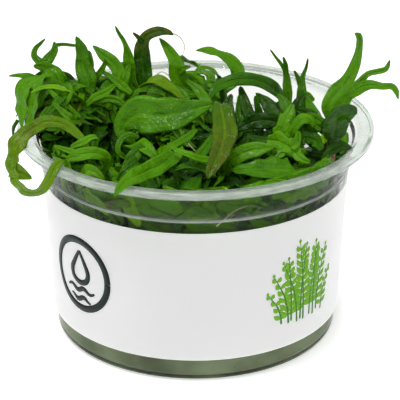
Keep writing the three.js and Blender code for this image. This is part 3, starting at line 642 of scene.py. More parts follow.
class Finishes:
    """Every material of the plant and its cup, made once.

    Attributes:
        leaf: the leaf materials by their tone.
    """

    def __init__(self) -> None:
        """Builds the materials."""
        # light, deep and rib green of each tone, and for the dark one the brown that it ages to
        greens = {
            FRESH: ((0.082, 0.262, 0.0005), (0.018, 0.098, 0.0002), (0.11, 0.31, 0.003)),
            # the dark tone is a darker copy of the fresh green, partly painted shade for leaves in the shade
            # of the tangle
            DARK: (
                (0.036, 0.150, 0.0003), (0.006, 0.038, 0.0001), (0.055, 0.18, 0.0015), (0.10, 0.09, 0.002)
            ),
            OLIVE: ((0.120, 0.262, 0.0006), (0.038, 0.104, 0.0003), (0.19, 0.32, 0.004)),
            PALE: ((0.15, 0.37, 0.003), (0.07, 0.22, 0.001), (0.20, 0.42, 0.01)),
        }
        rib_show = {OLIVE: 0.25}
        self.leaf = {
            tone: LeafFinish(tone.value, *colours, rib_show=rib_show.get(tone, LeafFinish.rib_show)).build()
            for tone, colours in greens.items()
        }
        self.stem_green = StemFinish("stem_green", (0.05, 0.17, 0.003), (0.16, 0.09, 0.006), 0.35).build()
        self.stem_rusty = StemFinish("stem_rusty", (0.06, 0.18, 0.004), (0.34, 0.10, 0.012), 0.9).build()
        self.root_hair = StemFinish("root_hair", (0.55, 0.60, 0.38), (0.36, 0.26, 0.15), 0.5).build()
        self.cup = CupFinish().build()
        self.gel = GelFinish().build()
        self.film = FilmFinish("label_film", (0.87, 0.87, 0.87), rough=0.42, glow=1.0, lit=0.34).build()
        self.ink_dark = FilmFinish("ink_dark", (0.005, 0.014, 0.011)).build()
        self.ink_leaf = FilmFinish("ink_leaf", (0.13, 0.36, 0.004)).build()
        self.ink_deep = FilmFinish("ink_deep", (0.03, 0.16, 0.003)).build()


# ---------------------------------------------------------------- Cup, label and gel


def arc(inner: float, outer: float, low: float, high: float, steps: int) -> np.ndarray:
    """Radius and height along a quarter arc that leaves its lower end level and ends upright."""
    turn = np.linspace(0, math.pi / 2, steps)
    return np.stack((inner + (outer - inner) * np.sin(turn), high - (high - low) * np.cos(turn)), -1)


def turned(profile: np.ndarray, segments: int) -> np.ndarray:
    """Spins a profile of radius and height round the upright axis.

    Args:
        profile: radius and height of each station.
        segments: points round each ring.

    Returns:
        Rings as one skin, station, place, axis.
    """
    turn = np.linspace(0, 2 * math.pi, segments, endpoint=False)
    return polar(turn, profile[:, :1], profile[:, 1:])[None]


@dataclass(frozen=True)
class Cup:
    """The moulded cup: rounded foot, slightly opening wall, stacking step and turned-out flange.

    Attributes:
        wall: thickness of the wall.
        foot_radius: radius of the flat underside.
        foot, shoulder, step, neck, flange_inner, rim: outer radius and height of each corner.
        lip_drop: how far the lip of the rim hangs down.
        lip: how far the edge of the rim is rounded.
        hub: radius of the small middle of the floor, where its rings begin.
        dish: outer and inner radius of the bevel round the underside's raised middle, and its rise.
        segments: points round a ring.
    """

    wall: float = 0.8
    foot_radius: float = 30.2
    foot: tuple[float, float] = (32.1, 2.2)
    shoulder: tuple[float, float] = (34.1, 39.2)
    step: tuple[float, float] = (34.9, 39.9)
    neck: tuple[float, float] = (36.0, 46.7)
    flange_inner: tuple[float, float] = (37.0, 48.3)
    rim: tuple[float, float] = (40.0, 48.7)
    lip_drop: float = 1.5
    lip: float = 0.42
    hub: float = 0.6
    dish: tuple[float, float, float] = (26.0, 22.0, 0.35)
    segments: int = 224

    def outer_radius(self, height: np.ndarray | float) -> np.ndarray:
        """Outer radius of the wall at a height."""
        corners = np.array((self.foot, self.shoulder, self.step, self.neck, self.flange_inner))
        return np.interp(height, corners[:, 1], corners[:, 0])

    def profile(self) -> np.ndarray:
        """Radius and height from the middle of the underside, over the rim, to the inner floor.

        Straight runs are cut into short steps and every corner gets points close on both sides,
        so that smooth shading turns round it in a narrow band.
        """
        w, drop, lip = self.wall, self.lip_drop, self.lip
        (rx, rz), (fx, fz) = self.rim, self.flange_inner
        bevel_out, bevel_in, rise = self.dish
        outside = [(self.hub, rise), (bevel_in, rise), (bevel_out, 0.02), (self.foot_radius, 0.0)]
        outside += [tuple(p) for p in arc(self.foot_radius, self.foot[0], 0, self.foot[1], 9)[1:]]
        outside += [self.shoulder, self.step, self.neck, (fx, fz - w), (rx - w, rz - w)]
        outside += [(rx - w, rz - drop + 0.15), (rx - w + 0.2, rz - drop), (rx - 0.15, rz - drop)]
        outside += [(rx, rz - drop + 0.2), (rx, rz - lip), (rx - 0.12, rz - 0.12), (rx - lip, rz)]
        inside = [(fx, fz), (fx - w, fz - w), (self.neck[0] - w, self.neck[1] - w)]
        inside += [(self.step[0] - w, self.step[1]), (self.shoulder[0] - w, self.shoulder[1])]
        foot_arc = arc(self.foot_radius - w, self.foot[0] - w, w, self.foot[1] + w, 9)
        inside += [tuple(p) for p in foot_arc[::-1]]
        inside += [(bevel_out, w), (bevel_in, w + rise), (self.hub, w + rise)]
        rough = np.array(outside + inside)
        steps = np.concatenate(([0.0], np.cumsum(np.linalg.norm(np.diff(rough, axis=0), axis=1))))
        beside = np.array((-0.28, -0.14, 0, 0.14, 0.28))
        near_corners = [corner + beside for corner in steps[1:-1]]
        fine = np.unique(np.concatenate((np.arange(0, steps[-1], 2.0), *near_corners)))
        fine = fine[np.concatenate(([True], np.diff(fine) > 0.05))]
        return np.stack([np.interp(fine, steps, column) for column in rough.T], -1)

    def haze(self, rings: np.ndarray) -> np.ndarray:
        """How milky the plastic is at each point, with a painted highlight at the step.

        It is 0 in the wall, 0.6 in the flange, 1.45 at its lip, and 2.6 in a line at the step: that milky
        line is a painted highlight, for the bright line of light that the step's edge reflects.
        """
        radius, height = np.hypot(rings[..., 0], rings[..., 1]), rings[..., 2]
        flange = ease(height, 46.9, 47.6) * ease(radius, 35.6, 36.4)
        flange = flange * (0.6 + 0.85 * ease(radius, 38.9, 39.5))
        return np.maximum(flange, 2.6 * np.exp(-(((height - self.step[1]) / 0.2) ** 2)))

    def build(self, finishes: Finishes) -> None:
        """Makes the cup."""
        rings = turned(self.profile(), self.segments)
        turn = np.abs(np.arctan2(rings[..., 1], rings[..., 0]))
        marks = {"haze": self.haze(rings), "turn": turn, "height": rings[..., 2]}
        make_piece("cup_body", [Skin(rings, marks)], finishes.cup, ("cup",), crease=50)


@dataclass(frozen=True)
class Label:
    """The wrapped film, and its print: a round symbol and a clump of leafy sprigs in two greens.

    Attributes:
        thickness: of the film.
        bottom, top: heights of its edges.
        gap: distance between its ends, at the back.
        stand_off: distance of the film from the wall.
        print_height: thickness of the print.
        symbol: middle of the symbol, as millimetres round the front to the right, and height.
        symbol_size: scale of the symbol.
        symbol_ring: radius of its ring before scaling.
        drop: outline of the drop in it, before scaling.
        sprigs: for each sprig its foot round the front, its height, its lean to the side, its pairs
            of leaves and the length of its lowest leaves.
        sprig_foot: height at which the sprigs stand.
    """

    thickness: float = 0.25
    bottom: float = 5.7
    top: float = 37.0
    gap: float = 5.0
    stand_off: float = 0.25
    print_height: float = 0.03
    symbol: tuple[float, float] = (-29.0, 21.5)
    symbol_size: float = 1.28
    symbol_ring: float = 6.6
    drop: tuple[tuple[float, float], ...] = (
        (0.0, 4.6), (1.3, 2.4), (2.1, 0.6), (1.7, -0.9), (0.0, -1.6),
        (-1.7, -0.9), (-2.1, 0.6), (-1.3, 2.4), (0.0, 4.6),
    )
    sprigs: tuple[tuple[float, float, float, int, float], ...] = (
        (26.5, 19.5, -1.5, 9, 3.6), (22.0, 12.5, -4.0, 6, 3.0), (31.0, 15.0, 3.0, 7, 3.2),
        (24.5, 15.5, -4.0, 7, 2.8), (28.5, 16.5, 2.5, 8, 3.0), (20.0, 8.0, -3.5, 4, 2.4),
        (33.0, 9.5, 3.0, 5, 2.4), (25.5, 18.0, 1.5, 9, 3.0), (22.8, 15.5, -1.0, 8, 2.8),
        (29.8, 18.0, 0.5, 9, 3.2),
    )
    sprig_foot: float = 11.0

    def band(self, cup: Cup) -> Skin:
        """The film: a thin upright strip section carried round the cup, open at the back."""
        rows, stations, rounding, gap_height = 12, 260, 0.03, 20.0
        half_gap = self.gap / 2 / cup.outer_radius(gap_height)
        turn = np.linspace(math.pi / 2 + half_gap, 2.5 * math.pi - half_gap, stations)
        height = np.linspace(self.bottom, self.top, rows)
        middle = [self.thickness / 2]
        lift = np.concatenate((np.zeros(rows), middle, np.full(rows, self.thickness), middle))
        height = np.concatenate((height, [self.top + rounding], height[::-1], [self.bottom - rounding]))
        radius = cup.outer_radius(height) + self.stand_off + lift
        return Skin(polar(turn[:, None], radius, height)[None])

    def stroke(self, cup: Cup, route: tuple, widths: tuple) -> Skin:
        """One printed line or leaf on the film.

        Args:
            cup: the cup under the film.
            route: points as (millimetres round the front to the right, height).
            widths: its widths at even steps.

        Returns:
            A flat closed skin bent onto the film, its centre line square to its width.
        """
        line = Course(tuple((x, 0.0, z) for x, z in route))
        shares = np.linspace(0, 1, max(8, int(line.length / 0.5)))
        centre, ahead = line.at(shares), line.ahead(shares)
        aside = np.stack((-ahead[:, 2], np.zeros(len(shares)), ahead[:, 0]), -1)
        half = np.maximum(spread(widths, shares), 0.05)[:, None, None] / 2
        across = np.array((-1, 0, 1, 1, 0, -1))[None, :, None]
        flat = centre[:, None] + aside[:, None] * across * half
        lift = np.array((0, 0, 0, 1, 1, 1)) * self.print_height
        film = cup.outer_radius(flat[..., 2]) + self.stand_off + self.thickness
        radius = film + lift + 0.005
        turn = -math.pi / 2 + flat[..., 0] / radius
        return Skin(polar(turn, radius, flat[..., 2])[None])

    def sprig(
        self, cup: Cup, foot: tuple[float, float], height: float, lean: float, pairs: int, size: float
    ) -> tuple[Skin, list[Skin]]:
        """A printed shoot: one bowed stem with pairs of oval leaves that shorten upward.

        Args:
            cup: the cup under the film.
            foot: where it stands, as millimetres round the front and height.
            height: how tall it is.
            lean: how far its tip stands to the side.
            pairs: pairs of leaves.
            size: length of its lowest leaves.

        Returns:
            The strokes of the stem and of the leaves.
        """
        x, z = foot
        stem_points = tuple((x + lean * t * t, z + height * t) for t in (0, 0.3, 0.6, 1))
        leaves = []
        for number in range(pairs):
            t = 0.18 + 0.74 * number / max(pairs - 1, 1)
            root = (x + lean * t * t, z + height * t)
            reach = size * (1.05 - 0.62 * t)
            for side in (-1, 1):
                way = math.radians(24 + 22 * t)
                end = (root[0] + side * reach * math.cos(way), root[1] + reach * math.sin(way))
                bow = (root[0] + side * reach * 0.5, root[1] + reach * 0.18)
                leaves.append(self.stroke(cup, (root, bow, end), (0.15, 0.9, 1.25, 0.8, 0.1)))
        tip = (x + lean, z + height)
        leaves.append(self.stroke(cup, (tip, (tip[0] + lean * 0.1, tip[1] + size * 0.35)), (0.2, 0.9, 0.1)))
        return self.stroke(cup, stem_points, (0.5, 0.4, 0.2)), leaves

    def emblem(self, cup: Cup) -> list[Skin]:
        """The round symbol: a ring round a drop over two waves."""
        x, z = self.symbol
        size = self.symbol_size
        turn = np.linspace(0, 2 * math.pi, 41)
        far = self.symbol_ring * size
        ring = tuple(zip(x + far * np.cos(turn), z + far * np.sin(turn)))
        drop = tuple((x + size * right, z + size * up) for right, up in self.drop)
        strokes = [self.stroke(cup, ring, (1.7, 1.7)), self.stroke(cup, drop, (0.8, 1.4, 1.4, 1.4, 0.8))]
        for low, reach in ((-3.0, 3.6), (-4.8, 2.6)):
            wave = tuple(
                (x + size * right, z + size * (low + 0.35 * math.sin(right * 1.9)))
                for right in np.linspace(-reach, reach, 15)
            )
            strokes.append(self.stroke(cup, wave, (0.5, 1.2, 1.2, 0.5)))
        return strokes

    def build(self, cup: Cup, finishes: Finishes) -> None:
        """Makes the film and its print."""
        make_piece("label_band", [self.band(cup)], finishes.film, ("label",), crease=40)
        stems: list[Skin] = []
        leaves: list[Skin] = []
        for number, (place, height, lean, pairs, size) in enumerate(self.sprigs):
            foot = (place, self.sprig_foot + 0.4 * (number % 3))
            stem, new_leaves = self.sprig(cup, foot, height, lean, pairs, size)
            stems.append(stem)
            leaves += new_leaves
        make_piece("label_print_leaves", leaves, finishes.ink_leaf)
        make_piece("label_print_stems", stems, finishes.ink_deep)
        make_piece("label_print_symbol", self.emblem(cup), finishes.ink_dark)


@dataclass(frozen=True)
class Gel:
    """Nutrient gel in the foot of the cup, with a low wavy top.

    Attributes:
        top: height at which it meets the wall.
        overlap: how far it reaches into the plastic, so that no gap shows.
    """

    top: float = 6.5
    overlap: float = 0.05

    def build(self, cup: Cup, finishes: Finishes) -> None:
        """Makes the gel: it follows the cup's inner corner and climbs a little up the wall."""
        inset, top = cup.wall - self.overlap, self.top
        bevel_out, bevel_in, _ = cup.dish
        corner = arc(cup.foot_radius - inset, cup.foot[0] - inset, inset, cup.foot[1] + inset, 9)
        side = float(cup.outer_radius(top)) - inset
        raised = inset + 0.36
        floor = [(cup.hub, raised), (bevel_in, raised), (bevel_out, inset)]
        up = [(side, top), (side - 0.35, top - 0.12), (side - 1.4, top - 0.5)]
        up += [(20.0, top - 0.7), (10.0, top - 0.6), (cup.hub, top - 0.6)]
        rings = turned(np.array(floor + [tuple(p) for p in corner] + up), segments=160)
        inner_top = (rings[..., 2] > top - 1.0) * (np.hypot(rings[..., 0], rings[..., 1]) < side - 1)
        rings[..., 2] += 0.25 * lumps(rings, size=11.0, seed=5) * inner_top
        make_piece("gel_layer", [Skin(rings)], finishes.gel, ("nutrient_gel",), crease=60)


# ---------------------------------------------------------------- Stems


STEM_ROUTES: dict[str, tuple[Point, ...]] = {
    "stem_right": ((23, -7, 4), (27, -9, 24), (30, -10, 42), (29.5, -10, 50), (29, -10.5, 54.5)),
    "stem_feather": ((12, -8, 4), (15, -10, 26), (18.5, -12.5, 42), (19.5, -13, 49)),
    "stem_spikes": ((15, 6, 4), (19, 9, 26), (21.5, 11.5, 42), (21.5, 12, 48.5)),
    "stem_middle": ((2, -3, 4), (5, -4, 26), (8, -5, 44), (7, -7, 54)),
    "stem_back": ((5, 13, 4), (6, 16, 26), (7, 17.5, 42), (6, 17, 51.5)),
    "stem_crook": ((-8, 9, 4), (-10, 11, 26), (-12, 12, 44), (-12, 13, 52)),
    "stem_left_back": ((-16, 5, 4), (-19, 5, 26), (-22.5, 5, 44), (-23.5, 5, 54)),
    "stem_left": ((-22, -1, 4), (-26, 0, 26), (-29, 1, 44), (-30.5, 1.5, 55)),
    "stem_left_front": ((-16, -11, 4), (-19, -14, 26), (-22, -15, 40), (-22.5, -16, 46.5)),
    "stem_front": ((-6, -9, 4), (-9, -10, 26), (-12.5, -11, 40), (-13.5, -11, 46)),
    "stem_right_front": ((5, -13, 4), (7, -17, 26), (6.5, -19, 40), (5, -21, 47)),
}


@dataclass(frozen=True)
class Stems:
    """The shoots' stems: tapering, softly ribbed, swollen at the joints where leaves leave.

    Attributes:
        root_radius, tip_radius: radius at both ends.
        joint_gap: distance from one joint to the next.
        joint_reach: half length of the swelling at a joint.
        ribs: ridges round a stem.
        rusty: stems with a rusty stretch.
        rust_height, rust_reach: middle and half length of that stretch.
    """

    root_radius: float = 1.05
    tip_radius: float = 0.8
    joint_gap: float = 7.5
    joint_reach: float = 0.55
    ribs: int = 4
    rusty: tuple[str, ...] = ("stem_right",)
    rust_height: float = 46.0
    rust_reach: float = 5.0

    def skin(self, route: tuple[Point, ...], tint: float, rusty: bool) -> Skin:
        """One stem.

        The radius falls from root to tip, rises by a fifth in a narrow bell at every joint, and
        waves round the stem once for each rib.

        Args:
            route: points of its centre line.
            tint: one number from 0 to 1, kept as a mark; the stem finishes don't read it.
            rusty: whether it has the rusty stretch.

        Returns:
            The stem's skin.
        """
        line = Course(route)
        stations = max(40, int(line.length / 0.5))
        shares = np.linspace(0, 1, stations)
        turn = np.linspace(0, 2 * math.pi, 16, endpoint=False)
        along = shares * line.length
        radius = self.root_radius + (self.tip_radius - self.root_radius) * shares
        past_joint = (along + 0.5 * self.joint_gap) % self.joint_gap - 0.5 * self.joint_gap
        joint = np.exp(-((past_joint / self.joint_reach) ** 2))
        tip = 0.35 + 0.65 * np.sqrt(np.clip((1 - shares) * stations / 4, 0, 1))
        radius = radius * (1 + 0.2 * joint) * tip
        radius = radius[:, None] * (1 + 0.05 * np.cos(self.ribs * turn))
        rings = tube(line, shares, (0.3, 1.0, 0.1), turn, radius)[None]
        rust = rusty * np.exp(-(((rings[..., 2] - self.rust_height) / self.rust_reach) ** 2))
        marks = marks_over(rings.shape[:3], across=np.cos(turn), along=along[:, None], tint=tint, rust=rust)
        return Skin(rings, marks)

    def build(self, finishes: Finishes) -> None:
        """Makes every stem."""
        for number, (name, route) in enumerate(STEM_ROUTES.items()):
            rusty = name in self.rusty
            look = "stem_rusty" if rusty else "stem_green"
            skin = self.skin(route, number / len(STEM_ROUTES), rusty)
            make_piece("shoot_" + name, [skin], getattr(finishes, look), (name,))


# ---------------------------------------------------------------- Large leaves


@dataclass(frozen=True)
class Margin:
    """How a leaf's edges run.

    Attributes:
        lobe_gap: millimetres from one side lobe to the next, or 0 for a whole edge.
        depth: how deep the bays reach, as a share of the half width.
        ruffle: height of the edge's waves in millimetres.
        wave: length of one wave in millimetres.
        blister: height of the swellings between the veins in millimetres.
        broad: factor on the widths that the table gives.
    """

    lobe_gap: float = 0.0
    depth: float = 0.0
    ruffle: float = 0.22
    wave: float = 5.5
    blister: float = 0.10
    broad: float = 1.08


PLAIN = Margin()
WAVY = Margin(ruffle=0.42, wave=4.4, blister=0.14)
TOOTHED = Margin(lobe_gap=3.0, depth=0.28, ruffle=0.3, broad=1.2)
CRUMPLED = Margin(lobe_gap=2.2, depth=0.25, ruffle=0.75, wave=2.6, blister=0.35, broad=1.12)


@dataclass(frozen=True)
class Blade:
    """A blade's line, its full widths and upper-side directions at even steps, and its fold."""

    route: tuple[Point, ...]
    widths: tuple[float, ...]
    faces: tuple[Point, ...] = (FRONT, FRONT)
    fold: float = 0.18


@dataclass(frozen=True)
class LeafPlan:
    """One large leaf: its stem, the height at which it leaves it, and its blades.

    A height over the stem's top carries the stem on. The first blade starts at the stem and the
    others are forks of it. Rust gives its ageing at even steps along each blade.
    """

    name: str
    stem: str
    at: float
    tone: Tone
    blades: tuple[Blade, ...]
    margin: Margin = PLAIN
    rust: tuple[float, ...] = (0.0, 0.05)
    tint: float | None = None


@dataclass(frozen=True)
class BladeShape:
    """The way a blade's cross-section is built: a thin leaf with a grooved, ribbed midrib.

    Attributes:
        across: places of the section's points between the margins.
        step: distance from one section to the next.
        thin: thickness of the blade.
        rib: how far the midrib stands out below, at the base.
        stalk: thickness of a stalk.
        blunt: share of the length over which the tip closes.
        low, high: corners of the box that every point is kept in, just inside the solids' own.
    """

    across: tuple[float, ...] = (-1, -0.82, -0.55, -0.25, -0.07, 0.07, 0.25, 0.55, 0.82, 1)
    step: float = 0.34
    thin: float = 0.3
    rib: float = 0.3
    stalk: float = 0.8
    blunt: float = 0.05
    low: Point = (-41.95, -41.5, 0.0)
    high: Point = (43.88, 39.9, 72.45)

    def ring(self) -> tuple[np.ndarray, np.ndarray]:
        """Place across and side, 1 for upper and -1 for lower, of each point of a section."""
        upper = np.array(self.across, float)
        lower = upper[-2:0:-1]
        side = np.concatenate(([0.0], np.ones(len(upper) - 2), [0.0], -np.ones(len(lower))))
        return np.concatenate((upper, lower)), side

    def skin(self, blade: Blade, margin: Margin, rust: tuple, tint: float, seed: int, forked: bool) -> Skin:
        """Carries the section along a blade's line.

        The edges rise from the midrib by the fold, wave by the ruffle, and stand out and forward
        in lobes: a saw wave along each side, half a step apart, so lobes alternate. The width
        closes as a root near the tip. The stalk end is round and the blade thin.

        Args:
            blade: line, widths and faces.
            margin: how its edges run.
            rust: ageing at even steps.
            tint: one number for the leaf's colour, from 0 for dark to 1 for light, or over 1.
            seed: phase of its waves.
            forked: whether the blade starts inside another one.

        Returns:
            The blade's skin.
        """
        draw = np.random.default_rng(seed)
        line = Course(blade.route)
        stations = int(np.clip(line.length / self.step, 22, 150))
        shares = np.linspace(0, 1, stations)
        along = shares * line.length
        centre, ahead = line.at(shares), line.ahead(shares)
        wanted = unit(spread(blade.faces, shares))
        square = wanted - ahead * (wanted * ahead).sum(-1, keepdims=True)
        trust = ease(np.linalg.norm(square, axis=-1, keepdims=True), 0.2, 0.7) + 1e-4
        face = evened(unit(square) * trust, stations * 0.05)
        face = unit(face - ahead * (face * ahead).sum(-1, keepdims=True))
        aside = np.cross(ahead, face)

        across, side = self.ring()
        phase = draw.uniform(0, 2 * math.pi, 4)
        half = evened(np.maximum(spread(blade.widths, shares), 0.35), stations * 0.035) / 2
        close = np.sqrt(np.clip((1 - shares) / self.blunt, 0, 1))
        blade_share = ease(half, 0.55, 1.1)
        lean = np.sign(across)
        edge = np.abs(across)
        saw = (along[:, None] / max(margin.lobe_gap, 1e-3) + 0.25 * lean + phase[0]) % 1.0
        crest = 0.72
        lobe = np.ones_like(saw)
        if margin.lobe_gap:
            lobe = np.where(saw < crest, ease(saw, 0.0, crest), 1 - ease(saw, crest, 1.0))
        wide = 1 + blade_share[:, None] * (margin.broad * (1 - margin.depth * (1 - lobe)) - 1)
        wide = wide * (1 + 0.05 * np.sin(along * 0.9 + phase[1]))[:, None]
        out = across * half[:, None] * wide * close[:, None]
        forward = margin.depth * 0.9 * half[:, None] * edge**2 * lobe * blade_share[:, None]

        fold = blade.fold * edge * half[:, None]
        wave = along[:, None] * 2 * math.pi / margin.wave + 1.7 * lean + phase[2]
        ruffle = margin.ruffle * np.sin(wave) * edge**2 * ease(half, 0.6, 1.8)[:, None]
        flat = centre[:, None] + aside[:, None] * out[..., None]
        blister = margin.blister * lumps(flat, size=2.3, seed=seed + 1) * edge**0.5 * blade_share[:, None]
        rib = np.exp(-((across / 0.16) ** 2))
        flesh = self.thin * np.sqrt(1 - across**2) / 2
        up = flesh - 0.1 * rib
        down = flesh + self.rib * rib * (1 - 0.6 * shares)[:, None]
        at_stalk = (1 - blade_share) * (1 - ease(shares, 0.3, 0.6)) * (0.0 if forked else 1.0)
        stalk = self.stalk / 2 * np.sqrt(1 - across**2)
        body = np.where(side > 0, up, -down)
        body = body + (side * stalk - body) * at_stalk[:, None]
        thin_out = (0.35 + 0.65 * close)[:, None]
        lift = fold * close[:, None] + ruffle + blister + np.where(side == 0, 0.0, body) * thin_out
        rings = flat + face[:, None] * lift[..., None] + ahead[:, None] * forward[..., None]
        rings = np.clip(rings, self.low, self.high)[None]
        ageing = spread(rust, shares)[:, None]
        marks = marks_over(rings.shape[:3], across=across, along=along[:, None], tint=tint, rust=ageing)
        return Skin(rings, marks)


def stalk_foot(stem: str, height: float, towards: Point) -> Point:
    """Where a leaf leaves its stem: inside the skin, on the side that its next point lies on.

    Args:
        stem: name of the stem.
        height: height on the stem, past its top for a leaf that carries the stem on.
        towards: the leaf's next point.

    Returns:
        The leaf's first point, in millimetres.
    """
    topmost, sunk, off_axis = 0.98, 0.3, 0.6
    line = Course(STEM_ROUTES[stem])
    share = line.share_at_height(height)
    centre, ahead = line.at(np.array([share]))[0], line.ahead(np.array([share]))[0]
    if share > topmost:
        return tuple(centre - ahead * sunk)
    away = unit(np.array(towards) - centre)
    away = unit(away - ahead * away.dot(ahead))
    return tuple(centre + away * off_axis)


